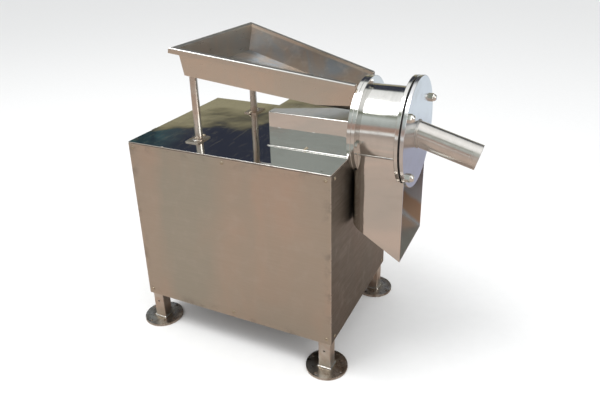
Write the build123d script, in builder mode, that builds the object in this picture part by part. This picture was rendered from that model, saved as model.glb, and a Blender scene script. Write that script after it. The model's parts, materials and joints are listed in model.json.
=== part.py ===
from build123d import *
from math import atan2, copysign, cos, radians, sin
import os

# Small stainless hammer mill: cabinet with the drive, overhung mill drum, feed tray, discharge chute.
# X runs along the shaft towards the drum, Y goes to the back, Z is up. The origin is on the floor,
# in the middle of the four feet. All sizes are in millimetres.

# Cabinet
cabinet_length = 520.0
cabinet_depth = 390.0
cabinet_top_z = 510.0
half_length = cabinet_length / 2
half_depth = cabinet_depth / 2
panel_bottom_z = 82.0
top_sheet = 2.0
side_sheet = 1.5
panel_gap = 1.5
panel_standoff = 3.5
panel_edge_round = 0.9
spacer_washer_radius = 6.0
top_corner = 2.0
top_edge_round = 0.8
pilot_hole_radius = 1.8
pilot_hole_inset = 26.0
pilot_hole_depth_inset = 13.0
edge_hole_radius = 1.1
edge_hole_inset = 3.2
edge_hole_places = (110.0, 211.0)
tube_size = 30.0
tube_wall = 2.0
tube_corner = 2.5
leg_hole_radius = 2.5
leg_hole_z = 60.0
leg_hole_offset = 5.0
foot_radius = 50.0
foot_thickness = 6.0
foot_hole_circle = 42.0
foot_hole_radius = 4.0
foot_hole_turn = -15.0
panel_screw_inset = 12.0
panel_screw_drop = 14.0
panel_screw_head_radius = 4.0
panel_screw_head = 2.2
screw_radius = 2.0
screw_clearance = 0.2
screw_tip_gap = 0.2
screw_head_taper = 20.0

# Mill axis and housing
mill_axis_rise = 45.0
mill_axis_z = cabinet_top_z + mill_axis_rise
drum_radius = 96.0
drum_wall = 2.0
drum_length = 95.0
rear_ring_radius = drum_radius + 17.0
rear_plate_thickness = 9.0
rear_flange_thickness = 9.0
front_flange_radius = drum_radius + 26.0
front_flange_thickness = 8.0
gasket_radius = drum_radius + 21.0
gasket_thickness = 4.0
cover_plate_radius = front_flange_radius + 0.5
cover_plate_thickness = 8.0
plate_edge_round = 1.0
stud_circle = drum_radius + 11.0
stud_radius = 5.0
stud_hole_clearance = 0.5
nut_angles = (29.0, 147.0, 228.0, 327.0)
dome_nut_flats = 17.0
dome_nut_hex = 6.5
dome_nut_height = 13.5
dome_inset = 0.5
dome_flat = 0.6
dome_nut_chamfer = 0.7
thread_clearance = 0.05
flange_bolt_circle = drum_radius + 8.5
flange_bolt_count = 4
flange_bolt_turn = 5.0
flange_bolt_flats = 10.0
flange_bolt_head = 4.5
flange_bolt_radius = 3.0
feed_top_radius = drum_radius - 10.0
feed_half_width = 50.0
window_half_angle = 60.0
screen_thickness = 1.5
screen_half_angle = 72.0
screen_hole_radius = 2.5
screen_hole_rows = 6
screen_hole_columns = 13
screen_hole_step = 9.0
screen_end_gap = 1.0
screen_edge_angle = 8.0

# Outlet pipe on the cover plate
pipe_radius = 28.5
pipe_wall = 2.0
pipe_length = 136.0
pipe_tilt = 15.5
pipe_drop = 4.0

# Rotor
shaft_radius = 10.0
shaft_start_x = half_length - 188.0
shaft_end_gap = 2.0
shaft_chamfer = 1.0
running_clearance = 0.05
seal_radius = 20.0
pin_count = 4
pin_turn = 45.0
pin_circle = 0.4375 * drum_radius
disc_radius = pin_circle + 10.0
disc_thickness = 6.0
hammer_gap = 26.0
hammer_thickness = 20.0
hammer_width = 20.0
hammer_screen_gap = 16.0
hammer_reach = drum_radius - hammer_screen_gap - pin_circle
hammer_edge = 1.0
pin_radius = 4.0
pin_head_radius = 6.0
pin_head = 2.5
pin_clearance = 0.1
collar_radius = 7.0
spacer_radius = pin_circle / 2.8
rotor_nut_flats = 24.0
rotor_nut_height = 8.0
rotor_back_gap = 15.0

# Drive
bearing_centres = (half_length - 165.0, half_length - 45.0)
bearing_base_length = 127.0
bearing_base_width = 32.0
bearing_base_height = 14.0
bearing_base_corner = 8.0
bearing_pad_margin = 6.0
bearing_pad_corner = 4.0
bearing_rise = 33.3
bearing_head_radius = 30.0
bearing_head_width = 28.0
bearing_head_round = 2.0
race_radius = 14.5
race_width = 31.0
bearing_bolt_span = 95.0
bearing_bolt_radius = 5.0
bearing_bolt_flats = 17.0
bearing_bolt_head = 7.0
belt_x = half_length - 105.0
belt_width = 13.0
belt_depth = 9.0
belt_gap = 0.3
belt_flank = 2.4
belt_edge = 1.0
pulley_width = 20.0
rotor_groove_radius = 18.0
motor_groove_radius = 44.0
pulley_rim = 9.0
belt_slot_half_width = 12.0
belt_slot_half_depth = 42.0
motor_rail_height = 20.0
motor_rail_width = 30.0
motor_axis_height = 90.0
motor_body_radius = 74.0
motor_fin = 4.0
motor_fin_width = 3.0
motor_fin_count = 24
motor_fin_root = 1.0
motor_front_x = belt_x - 70.0
motor_back_x = motor_front_x - 195.0
motor_shield_length = 20.0
motor_shield_taper = 25.0
motor_shaft_overrun = 6.0
motor_foot_half_y = 70.0
motor_foot_span_x = 100.0
motor_foot_centre_x = motor_front_x - 97.0
motor_foot_width = 34.0
motor_foot_height = 10.0
motor_web_spread = 0.78
motor_web_height = 54.0
cowl_length = 50.0
cowl_wall = 2.0
cowl_gap = 1.0
cowl_round = 6.0
cowl_hole_radius = 3.0
cowl_hole_rings = ((20, 8), (34, 14), (48, 20))
motor_shaft_radius = 12.0
motor_bolt_radius = 4.0
motor_bolt_flats = 13.0
motor_bolt_head = 5.3
terminal_length = 90.0
terminal_width = 74.0
terminal_height = 44.0
terminal_corner = 6.0
terminal_edge = 3.0
terminal_seat_gap = 0.5

# Bearing cover on the cabinet
cover_start_x = half_length - 198.0
cover_end_gap = 2.0
cover_half_width = 85.0
cover_height = 79.0
cover_sheet = 2.0
cover_flange = 9.0
cover_flange_round = 1.2
cover_screw_x = half_length - 106.0
cover_shaft_gap = 4.0
cover_flange_overlap = 0.5
cover_screw_head_radius = 3.5
cover_screw_head = 2.5

# Discharge chute
chute_half_width = drum_radius - 6.0
chute_sheet = 2.0
chute_back_x = half_length + 2.5
chute_mouth_gap = 4.0
chute_top_gap = 3.6
chute_lip_z = mill_axis_z - 280.0
chute_slope = 32.0
chute_corner = 25.0
chute_seat_gap = 0.4
plate_travel_gap = 1.5

# Feed tray
tray_sheet = 2.0
tray_back_x = half_length - 384.0
tray_slope = 11.0
tray_depth = 65.0
tray_rim_z = cabinet_top_z + 163.0 + tray_depth
rim_width = 12.0
rim_lip = 12.0
rim_round = 3.5
rim_half_wide = 178.0
rim_taper = 0.285
floor_half_wide = 143.0
floor_taper = 0.232
floor_inset = 10.0
tray_overrun = 40.0
facet_start_x = half_length - 95.0
facet_height = 22.0
facet_width = 24.0
facet_lean = 0.12

# Tray posts
post_places = {"near": (tray_back_x + 14.0, -118.0), "far": (tray_back_x + 31.0, 116.0)}
post_radius = 9.0
post_wall = 1.5
post_plate_x = 36.0
post_plate_outer = 20.0
post_plate_inner = 30.0
post_plate_thickness = 3.0
post_screw_in = 20.0
post_screw_head_radius = 4.5
post_screw_head = 3.0

# Cable gland in the back panel
gland_x = 70.0 - half_length
gland_z = 140.0
gland_flats = 24.0
gland_radius = 10.0
gland_bore = 4.5
gland_hex = 8.0
gland_dome = 12.0
gland_dome_taper = 12.0
gland_thread = 8.0

leg_inset = side_sheet + panel_standoff + tube_size / 2
leg_x = half_length - leg_inset
leg_y = half_depth - leg_inset
tube_top_z = cabinet_top_z - top_sheet
panel_top_z = tube_top_z - panel_gap
rear_plate_x = half_length
drum_start_x = rear_plate_x + rear_plate_thickness
drum_end_x = drum_start_x + rear_flange_thickness + drum_length
front_flange_x = drum_end_x - front_flange_thickness
plate_x = drum_end_x + gasket_thickness
plate_face_x = plate_x + cover_plate_thickness
first_disc_x = drum_start_x + rotor_back_gap
disc_places = [first_disc_x + index * (disc_thickness + hammer_gap) for index in range(3)]
rotor_end_x = disc_places[-1] + disc_thickness
shaft_end_x = rotor_end_x + rotor_nut_height + shaft_end_gap
bearing_base_z = mill_axis_z - bearing_rise
motor_axis_z = panel_bottom_z + tube_size + motor_rail_height + motor_axis_height
chute_mouth_x = plate_face_x - chute_mouth_gap
chute_top_z = mill_axis_z - (drum_radius**2 - chute_half_width**2) ** 0.5 - chute_top_gap
slope_sine = sin(radians(tray_slope))
slope_cosine = cos(radians(tray_slope))
tray_length = (rear_plate_x - tray_back_x) / slope_cosine
tray_drop = tray_length * slope_sine + (tray_depth - tray_sheet) / slope_cosine
feed_bottom = tray_rim_z - tray_drop - mill_axis_z
tray_plane = Plane(
    origin=(tray_back_x, 0, tray_rim_z),
    x_dir=(slope_cosine, 0, -slope_sine),
    z_dir=(slope_sine, 0, slope_cosine),
)

os.makedirs("parts", exist_ok=True)


def save(piece, name):
    piece.part.label = name
    export_step(piece.part, f"parts/{name}.step")


def across(x, y=0.0, z=mill_axis_z):
    """Plane square to the shaft at x, with its local X along Y and its local Y up."""
    return Plane(origin=(x, y, z), x_dir=(0, 1, 0), z_dir=(1, 0, 0))


def around(radius, angle):
    """Y and Z distances from the mill axis of a point on a circle round it."""
    return radius * cos(radians(angle)), radius * sin(radians(angle))


# ---------------------------------------------------------------- frame


def frame_corners():
    return {
        "front_left": (-leg_x, -leg_y),
        "front_right": (leg_x, -leg_y),
        "back_left": (-leg_x, leg_y),
        "back_right": (leg_x, leg_y),
    }


def build_legs():
    for corner, (x, y) in frame_corners().items():
        with BuildPart() as leg:
            with BuildSketch(Plane.XY.offset(foot_thickness)):
                with Locations((x, y)):
                    RectangleRounded(tube_size, tube_size, tube_corner)
                    Rectangle(tube_size - 2 * tube_wall, tube_size - 2 * tube_wall, mode=Mode.SUBTRACT)
            extrude(amount=tube_top_z - foot_thickness)
            front_face = Plane(origin=(x, y - tube_size / 2, leg_hole_z), z_dir=(0, -1, 0))
            with BuildSketch(front_face):
                with Locations((leg_hole_offset, 0)):
                    Circle(leg_hole_radius)
            extrude(amount=-tube_wall, mode=Mode.SUBTRACT)
        save(leg, f"leg_{corner}")


def build_feet():
    with BuildPart() as feet:
        with BuildSketch():
            with Locations(*frame_corners().values()):
                Circle(foot_radius)
            for x, y in frame_corners().values():
                with Locations((x, y)):
                    with PolarLocations(foot_hole_circle, 4, start_angle=foot_hole_turn):
                        Circle(foot_hole_radius, mode=Mode.SUBTRACT)
        extrude(amount=foot_thickness)
    save(feet, "foot_discs")


def tube_along_x(y, z, length):
    with BuildSketch(across(-length / 2, y, z)) as section:
        Rectangle(tube_size, tube_size)
        Rectangle(tube_size - 2 * tube_wall, tube_size - 2 * tube_wall, mode=Mode.SUBTRACT)
    extrude(section.sketch, amount=length)


def tube_along_y(x, z, length):
    with BuildSketch(Plane(origin=(x, -length / 2, z), x_dir=(1, 0, 0), z_dir=(0, 1, 0))) as section:
        Rectangle(tube_size, tube_size)
        Rectangle(tube_size - 2 * tube_wall, tube_size - 2 * tube_wall, mode=Mode.SUBTRACT)
    extrude(section.sketch, amount=length)


def build_rails():
    levels = {"lower": panel_bottom_z + tube_size / 2, "upper": tube_top_z - tube_size / 2}
    for level, z in levels.items():
        with BuildPart() as rails:
            for side in (-1, 1):
                tube_along_x(side * leg_y, z, 2 * leg_x - tube_size)
                tube_along_y(side * leg_x, z, 2 * leg_y - tube_size)
        save(rails, f"{level}_rails")


# ---------------------------------------------------------------- cabinet sheets


def long_screw_places():
    top = cabinet_top_z - panel_screw_drop
    bottom = panel_bottom_z + panel_screw_drop
    span = half_length - panel_screw_inset
    return [(x, z) for z in (top, bottom) for x in (-span, 0, span)]


def short_screw_places():
    top = cabinet_top_z - panel_screw_drop
    bottom = panel_bottom_z + panel_screw_drop
    span = leg_y
    return [(y, z) for z in (top, bottom) for y in (-span, span)]


def long_wall_plane(side):
    """Outer face of the front (-1) or back (1) panel, its normal pointing out."""
    return Plane(origin=(0, side * half_depth, 0), x_dir=(-side, 0, 0), z_dir=(0, side, 0))


def short_wall_plane(side):
    """Outer face of the left (-1) or right (1) panel, its normal pointing out."""
    return Plane(origin=(side * half_length, 0, 0), x_dir=(0, side, 0), z_dir=(side, 0, 0))


def build_long_panels():
    height = panel_top_z - panel_bottom_z
    for name, side in {"front_panel": -1, "back_panel": 1}.items():
        with BuildPart() as panel:
            with BuildSketch(long_wall_plane(side)):
                with Locations((0, panel_bottom_z + height / 2)):
                    Rectangle(cabinet_length, height)
                with Locations(*[(-side * x, z) for x, z in long_screw_places()]):
                    Circle(screw_radius + screw_clearance, mode=Mode.SUBTRACT)
                if side > 0:
                    with Locations((-gland_x, gland_z)):
                        Circle(gland_radius, mode=Mode.SUBTRACT)
            extrude(amount=-side_sheet)
            vertical = panel.edges().filter_by(Axis.Z).group_by(Axis.Y)[0 if side < 0 else -1]
            fillet(vertical, panel_edge_round)
        save(panel, name)


def build_short_panels():
    height = panel_top_z - panel_bottom_z
    width = cabinet_depth - 2 * side_sheet
    for name, side in {"left_panel": -1, "right_panel": 1}.items():
        with BuildPart() as panel:
            with BuildSketch(short_wall_plane(side)):
                with Locations((0, panel_bottom_z + height / 2)):
                    Rectangle(width, height)
                with Locations(*[(side * y, z) for y, z in short_screw_places()]):
                    Circle(screw_radius + screw_clearance, mode=Mode.SUBTRACT)
            extrude(amount=-side_sheet)
        save(panel, name)


def build_panel_spacers():
    with BuildPart() as spacers:
        for side in (-1, 1):
            inner_face = long_wall_plane(side).offset(-side_sheet)
            with BuildSketch(inner_face):
                with Locations(*[(-side * x, z) for x, z in long_screw_places()]):
                    Circle(spacer_washer_radius)
                    Circle(screw_radius + screw_clearance, mode=Mode.SUBTRACT)
            extrude(amount=-panel_standoff)
            inner_face = short_wall_plane(side).offset(-side_sheet)
            with BuildSketch(inner_face):
                with Locations(*[(side * y, z) for y, z in short_screw_places()]):
                    Circle(spacer_washer_radius)
                    Circle(screw_radius + screw_clearance, mode=Mode.SUBTRACT)
            extrude(amount=-panel_standoff)
    save(spacers, "panel_spacers")


def pan_head_screws(plane, places, reach, head_radius, head_height, shank_radius):
    """Pan head screws on a plane, heads out along its normal, shanks reaching in behind it."""
    with BuildSketch(plane) as heads:
        with Locations(*places):
            Circle(head_radius)
    extrude(heads.sketch, amount=head_height, taper=screw_head_taper)
    with BuildSketch(plane) as shanks:
        with Locations(*places):
            Circle(shank_radius)
    extrude(shanks.sketch, amount=-reach)


def build_panel_screws():
    reach = side_sheet + panel_standoff - screw_tip_gap
    size = (panel_screw_head_radius, panel_screw_head, screw_radius)
    with BuildPart() as screws:
        for side in (-1, 1):
            places = [(-side * x, z) for x, z in long_screw_places()]
            pan_head_screws(long_wall_plane(side), places, reach, *size)
            places = [(side * y, z) for y, z in short_screw_places()]
            pan_head_screws(short_wall_plane(side), places, reach, *size)
    save(screws, "panel_screws")


def cover_screw_place(side):
    return cover_screw_x, side * (cover_half_width + cover_flange / 2)


def post_screw_places():
    return [(x, y - copysign(post_screw_in, y)) for x, y in post_places.values()]


def top_screw_places():
    return [cover_screw_place(-1), cover_screw_place(1), *post_screw_places()]


def build_top_panel():
    with BuildPart() as top:
        with BuildSketch(Plane.XY.offset(tube_top_z)):
            Rectangle(cabinet_length, cabinet_depth)
            with Locations((belt_x, 0)):
                Rectangle(2 * belt_slot_half_width, 2 * belt_slot_half_depth, mode=Mode.SUBTRACT)
            with Locations(*top_screw_places()):
                Circle(screw_radius + screw_clearance, mode=Mode.SUBTRACT)
            with Locations((half_length - pilot_hole_inset, pilot_hole_depth_inset - half_depth)):
                Circle(pilot_hole_radius, mode=Mode.SUBTRACT)
            with Locations(*[(x, edge_hole_inset - half_depth) for x in edge_hole_places]):
                Circle(edge_hole_radius, mode=Mode.SUBTRACT)
        extrude(amount=top_sheet)
        upright = top.edges().filter_by(Axis.Z).group_by(Axis.X)
        fillet(upright[0] + upright[-1], top_corner)
        outer_face = top.faces().sort_by(Axis.Z)[-1]
        fillet(outer_face.outer_wire().edges(), top_edge_round)
    save(top, "top_panel")


# ---------------------------------------------------------------- mill housing


def disc_between(x, length, outer, inner=0.0, mode=Mode.ADD):
    """Disc or ring on the mill axis, from x along +X."""
    with BuildSketch(across(x)) as profile:
        Circle(outer)
        if inner:
            Circle(inner, mode=Mode.SUBTRACT)
    extrude(profile.sketch, amount=length, mode=mode)


def holes_through(x, length, circle, radius, count, turn):
    """Holes on a circle round the mill axis."""
    with BuildSketch(across(x)) as holes:
        with PolarLocations(circle, count, start_angle=turn):
            Circle(radius)
    extrude(holes.sketch, amount=length, mode=Mode.SUBTRACT)


def stud_places():
    return [around(stud_circle, angle) for angle in nut_angles]


def stud_holes(x, length, radius):
    """Holes for the cover studs, from x along +X."""
    with BuildSketch(across(x)) as holes:
        with Locations(*stud_places()):
            Circle(radius)
    extrude(holes.sketch, amount=length, mode=Mode.SUBTRACT)


def build_back_plate():
    with BuildPart() as plate:
        disc_between(rear_plate_x, rear_plate_thickness, rear_ring_radius)
        outer = plate.edges().filter_by(GeomType.CIRCLE)
        fillet(outer, plate_edge_round)
        disc_between(rear_plate_x, rear_plate_thickness, seal_radius, mode=Mode.SUBTRACT)
        holes_through(
            rear_plate_x, rear_plate_thickness, flange_bolt_circle,
            flange_bolt_radius + screw_clearance, flange_bolt_count, flange_bolt_turn,
        )
        with BuildSketch(across(rear_plate_x)):
            Circle(feed_top_radius)
            with Locations((0, feed_bottom + feed_top_radius / 2)):
                Rectangle(2 * feed_half_width, feed_top_radius, mode=Mode.INTERSECT)
        extrude(amount=rear_plate_thickness, mode=Mode.SUBTRACT)
    save(plate, "back_plate")


def build_drum():
    with BuildPart() as drum:
        disc_between(drum_start_x, drum_end_x - drum_start_x, drum_radius)
        disc_between(drum_start_x, rear_flange_thickness, rear_ring_radius)
        disc_between(front_flange_x, front_flange_thickness, front_flange_radius)
        rims = drum.edges().filter_by(GeomType.CIRCLE).filter_by(lambda edge: edge.radius > drum_radius + 1)
        fillet(rims, plate_edge_round)
        disc_between(drum_start_x, drum_end_x - drum_start_x, drum_radius - drum_wall, mode=Mode.SUBTRACT)
        holes_through(
            drum_start_x, rear_flange_thickness, flange_bolt_circle,
            flange_bolt_radius + screw_clearance, flange_bolt_count, flange_bolt_turn,
        )
        stud_holes(front_flange_x, front_flange_thickness, stud_radius)
        window_start = drum_start_x + rear_flange_thickness
        half_width = drum_radius * sin(radians(window_half_angle))
        with BuildSketch(across(window_start)):
            with Locations((0, -drum_radius * cos(radians(window_half_angle)) - drum_radius)):
                Rectangle(2 * half_width, 2 * drum_radius)
        extrude(amount=front_flange_x - window_start, mode=Mode.SUBTRACT)
    save(drum, "mill_drum")


def build_screen():
    """Perforated half ring in the lower part of the drum, open at the top."""
    outer = drum_radius - drum_wall
    inner = outer - screen_thickness
    length = drum_end_x - drum_start_x - 2 * screen_end_gap
    start_x = drum_start_x + screen_end_gap
    with BuildPart() as screen:
        disc_between(start_x, length, outer, inner)
        with BuildSketch(across(start_x)):
            with Locations((0, outer * (1 - cos(radians(screen_half_angle))))):
                Rectangle(3 * outer, 2 * outer)
        extrude(amount=length, mode=Mode.SUBTRACT)
        middle_x = start_x + length / 2
        turn = 2 * (screen_half_angle - screen_edge_angle) / (screen_hole_columns - 1)
        for column in range(screen_hole_columns):
            angle = (column - (screen_hole_columns - 1) / 2) * turn
            drill = Plane(
                origin=(middle_x, 0, mill_axis_z), x_dir=(1, 0, 0),
                z_dir=(0, sin(radians(angle)), -cos(radians(angle))),
            )
            with BuildSketch(drill):
                with GridLocations(screen_hole_step, 1, screen_hole_rows, 1):
                    Circle(screen_hole_radius)
            extrude(amount=drum_radius, mode=Mode.SUBTRACT)
    save(screen, "screen")


def build_gasket():
    with BuildPart() as gasket:
        disc_between(drum_end_x, gasket_thickness, gasket_radius, drum_radius - drum_wall)
        stud_holes(drum_end_x, gasket_thickness, stud_radius)
    save(gasket, "drum_gasket")


def build_studs():
    with BuildPart() as studs:
        with BuildSketch(across(front_flange_x)):
            with Locations(*stud_places()):
                Circle(stud_radius)
        extrude(amount=plate_face_x + dome_nut_hex - front_flange_x)
    save(studs, "cover_studs")


def build_dome_nuts():
    for index, (y, z) in enumerate(stud_places()):
        seat = across(plate_face_x, y, mill_axis_z + z)
        hex_radius = dome_nut_flats / 2 / cos(radians(30))
        dome_radius = dome_nut_flats / 2 - dome_inset
        with BuildPart() as nut:
            with BuildSketch(seat):
                RegularPolygon(hex_radius, 6)
            extrude(amount=dome_nut_hex)
            chamfer(nut.faces().sort_by(Axis.X)[-1].edges(), dome_nut_chamfer)
            with BuildSketch(seat.offset(dome_nut_hex)):
                Circle(dome_radius)
            extrude(amount=dome_nut_height - dome_nut_hex)
            fillet(nut.faces().sort_by(Axis.X)[-1].edges(), dome_nut_height - dome_nut_hex - dome_flat)
            with BuildSketch(seat):
                Circle(stud_radius + thread_clearance)
            extrude(amount=dome_nut_hex + 1, mode=Mode.SUBTRACT)
        save(nut, f"dome_nut_{index + 1}")


def build_flange_bolts():
    head_x = drum_start_x + rear_flange_thickness
    with BuildPart() as bolts:
        with BuildSketch(across(head_x)):
            with PolarLocations(flange_bolt_circle, flange_bolt_count, start_angle=flange_bolt_turn):
                RegularPolygon(flange_bolt_flats / 2 / cos(radians(30)), 6)
        extrude(amount=flange_bolt_head)
        with BuildSketch(across(head_x)):
            with PolarLocations(flange_bolt_circle, flange_bolt_count, start_angle=flange_bolt_turn):
                Circle(flange_bolt_radius)
        extrude(amount=-(rear_flange_thickness + rear_plate_thickness))
    save(bolts, "flange_bolts")


def build_cover_plate():
    with BuildPart() as plate:
        disc_between(plate_x, cover_plate_thickness, cover_plate_radius)
        fillet(plate.edges().filter_by(GeomType.CIRCLE), plate_edge_round)
        stud_holes(plate_x, cover_plate_thickness, stud_radius + stud_hole_clearance)
        with BuildSketch(pipe_plane()):
            Circle(pipe_radius - pipe_wall)
        extrude(amount=pipe_length / 2, both=True, mode=Mode.SUBTRACT)
    save(plate, "cover_plate")


def pipe_plane():
    """Plane square to the outlet pipe where its axis meets the cover plate's face."""
    tilt = radians(pipe_tilt)
    return Plane(
        origin=(plate_face_x, 0, mill_axis_z - pipe_drop), x_dir=(0, 1, 0), z_dir=(cos(tilt), 0, -sin(tilt))
    )


def build_outlet_pipe():
    with BuildPart() as pipe:
        with BuildSketch(pipe_plane().offset(-pipe_radius)):
            Circle(pipe_radius)
            Circle(pipe_radius - pipe_wall, mode=Mode.SUBTRACT)
        extrude(amount=pipe_length + pipe_radius)
        split(bisect_by=Plane(origin=(plate_face_x, 0, 0), z_dir=(1, 0, 0)), keep=Keep.TOP)
    save(pipe, "outlet_pipe")


def build_shaft_seal():
    with BuildPart() as seal:
        disc_between(rear_plate_x, rear_plate_thickness, seal_radius, shaft_radius + running_clearance)
    save(seal, "shaft_seal")


# ---------------------------------------------------------------- rotor


def build_shaft():
    with BuildPart() as shaft:
        disc_between(shaft_start_x, shaft_end_x - shaft_start_x, shaft_radius)
        chamfer(shaft.edges().filter_by(GeomType.CIRCLE), shaft_chamfer)
    save(shaft, "rotor_shaft")


def pin_angles():
    return [pin_turn + 360 / pin_count * index for index in range(pin_count)]


def build_discs():
    with BuildPart() as discs:
        for x in disc_places:
            disc_between(x, disc_thickness, disc_radius, shaft_radius)
            holes_through(x, disc_thickness, pin_circle, pin_radius, pin_count, pin_turn)
    save(discs, "rotor_discs")


def build_spacers():
    with BuildPart() as spacers:
        back_x = drum_start_x + shaft_end_gap
        disc_between(back_x, first_disc_x - back_x, spacer_radius, shaft_radius)
        for x in disc_places[:-1]:
            disc_between(x + disc_thickness, hammer_gap, spacer_radius, shaft_radius)
    save(spacers, "rotor_spacers")


def build_rotor_nut():
    with BuildPart() as nut:
        with BuildSketch(across(rotor_end_x)):
            RegularPolygon(rotor_nut_flats / 2 / cos(radians(30)), 6)
            Circle(shaft_radius, mode=Mode.SUBTRACT)
        extrude(amount=rotor_nut_height)
    save(nut, "rotor_nut")


def build_pins():
    with BuildPart() as pins:
        with BuildSketch(across(first_disc_x)):
            with PolarLocations(pin_circle, pin_count, start_angle=pin_turn):
                Circle(pin_radius)
        extrude(amount=rotor_end_x - first_disc_x)
        for x in (first_disc_x - pin_head, rotor_end_x):
            with BuildSketch(across(x)):
                with PolarLocations(pin_circle, pin_count, start_angle=pin_turn):
                    Circle(pin_head_radius)
            extrude(amount=pin_head)
    save(pins, "hammer_pins")


def hammer_gap_start(index):
    """Hammers sit in turn in the first and the second gap, round the four pins."""
    return disc_places[index % 2] + disc_thickness


def build_collars():
    with BuildPart() as collars:
        for index, angle in enumerate(pin_angles()):
            y, z = around(pin_circle, angle)
            with BuildSketch(across(hammer_gap_start(index + 1), y, mill_axis_z + z)):
                Circle(collar_radius)
                Circle(pin_radius, mode=Mode.SUBTRACT)
            extrude(amount=hammer_gap)
    save(collars, "pin_collars")


def build_hammers():
    """Free-swinging bars, hanging straight down from their pins."""
    for index, angle in enumerate(pin_angles()):
        y, z = around(pin_circle, angle)
        start_x = hammer_gap_start(index) + (hammer_gap - hammer_thickness) / 2
        with BuildPart() as hammer:
            with BuildSketch(across(start_x, y, mill_axis_z + z)):
                Circle(hammer_width / 2)
                with Locations((0, -hammer_reach / 2)):
                    Rectangle(hammer_width, hammer_reach)
                Circle(pin_radius + pin_clearance, mode=Mode.SUBTRACT)
            extrude(amount=hammer_thickness)
            chamfer(hammer.faces().sort_by(Axis.Z)[0].edges(), hammer_edge)
        save(hammer, f"hammer_{index + 1}")


# ---------------------------------------------------------------- drive


def grooved_pulley(z, groove_radius, bore):
    """Vee pulley about an axis along X at height z."""
    rim = groove_radius + pulley_rim
    half = pulley_width / 2
    top_half = belt_width / 2 + belt_gap
    bottom_half = top_half - belt_flank
    with BuildSketch(Plane(origin=(belt_x, 0, z), x_dir=(1, 0, 0), z_dir=(0, -1, 0))) as profile:
        with BuildLine():
            Polyline(
                (-half, bore), (half, bore), (half, rim), (top_half, rim), (bottom_half, groove_radius),
                (-bottom_half, groove_radius), (-top_half, rim), (-half, rim), close=True,
            )
        make_face()
    revolve(profile.sketch, axis=Axis((belt_x, 0, z), (1, 0, 0)))


def build_pulleys():
    with BuildPart() as small:
        grooved_pulley(mill_axis_z, rotor_groove_radius, shaft_radius)
    save(small, "rotor_pulley")
    with BuildPart() as large:
        grooved_pulley(motor_axis_z, motor_groove_radius, motor_shaft_radius)
    save(large, "motor_pulley")


def belt_loop(radius_top, radius_bottom):
    """Outline of a band round both pulleys, in the plane square to the shafts."""
    distance = mill_axis_z - motor_axis_z
    lean = atan2(radius_bottom - radius_top, (distance**2 - (radius_bottom - radius_top) ** 2) ** 0.5)
    side = (cos(lean), sin(lean))
    top = [(sign * radius_top * side[0], distance + radius_top * side[1]) for sign in (1, -1)]
    low = [(sign * radius_bottom * side[0], radius_bottom * side[1]) for sign in (1, -1)]
    with BuildLine() as outline:
        ThreePointArc(top[0], (0, distance + radius_top), top[1])
        Line(top[1], low[1])
        ThreePointArc(low[1], (0, -radius_bottom), low[0])
        Line(low[0], top[0])
    make_face(outline.edges())


def belt_sketch(x, lift):
    """Band round both pulleys at x, its radius the given lift above the two groove bottoms."""
    with BuildSketch(across(x, 0, motor_axis_z)) as loop:
        belt_loop(rotor_groove_radius + lift, motor_groove_radius + lift)
    return loop.sketch


def build_belt():
    """Vee belt: a band as wide as its back, with both flanks cut away towards the grooves."""
    back_half = belt_width / 2
    base_half = back_half - belt_flank
    back_lift = belt_gap + belt_depth
    with BuildPart() as belt:
        extrude(belt_sketch(belt_x - back_half, back_lift), amount=belt_width)
        extrude(belt_sketch(belt_x - back_half, belt_gap), amount=belt_width, mode=Mode.SUBTRACT)
        for side in (-1, 1):
            base = belt_sketch(belt_x + side * base_half, belt_gap)
            edge = belt_sketch(belt_x + side * back_half, back_lift - belt_edge)
            loft([base, edge], ruled=True, mode=Mode.SUBTRACT)
    save(belt, "drive_belt")


def build_bearing_base():
    length = bearing_centres[1] - bearing_centres[0] + bearing_base_width + 2 * bearing_pad_margin
    depth = bearing_base_length + 2 * bearing_pad_margin
    with BuildPart() as base:
        with BuildSketch(Plane.XY.offset(cabinet_top_z)):
            with Locations((sum(bearing_centres) / 2, 0)):
                RectangleRounded(length, depth, bearing_pad_corner)
            with Locations((belt_x, 0)):
                Rectangle(2 * belt_slot_half_width, 2 * belt_slot_half_depth, mode=Mode.SUBTRACT)
            with Locations(*bearing_bolt_places()):
                Circle(bearing_bolt_radius, mode=Mode.SUBTRACT)
        extrude(amount=bearing_base_z - cabinet_top_z)
    save(base, "bearing_base")


def bearing_bolt_places():
    return [(x, side * bearing_bolt_span / 2) for x in bearing_centres for side in (-1, 1)]


def build_bearing_blocks():
    for name, x in zip(("left", "right"), bearing_centres):
        with BuildPart() as block:
            with BuildSketch(Plane.XY.offset(bearing_base_z)):
                with Locations((x, 0)):
                    RectangleRounded(bearing_base_width, bearing_base_length, bearing_base_corner)
            extrude(amount=bearing_base_height)
            with BuildSketch(across(x - bearing_head_width / 2)):
                Circle(bearing_head_radius)
                with Locations((0, -bearing_rise / 2)):
                    Rectangle(2 * bearing_head_radius, bearing_rise)
            extrude(amount=bearing_head_width)
            fillet(block.edges().filter_by(GeomType.CIRCLE).sort_by(Axis.Z)[-2:], bearing_head_round)
            bore = race_radius + running_clearance
            disc_between(x - bearing_head_width / 2, bearing_head_width, bore, mode=Mode.SUBTRACT)
            with BuildSketch(Plane.XY.offset(bearing_base_z)):
                with Locations((x, bearing_bolt_span / 2), (x, -bearing_bolt_span / 2)):
                    Circle(bearing_bolt_radius + screw_clearance)
            extrude(amount=bearing_base_height, mode=Mode.SUBTRACT)
        save(block, f"bearing_block_{name}")


def build_bearing_races():
    with BuildPart() as races:
        for x in bearing_centres:
            disc_between(x - race_width / 2, race_width, race_radius, shaft_radius)
    save(races, "bearing_races")


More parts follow.
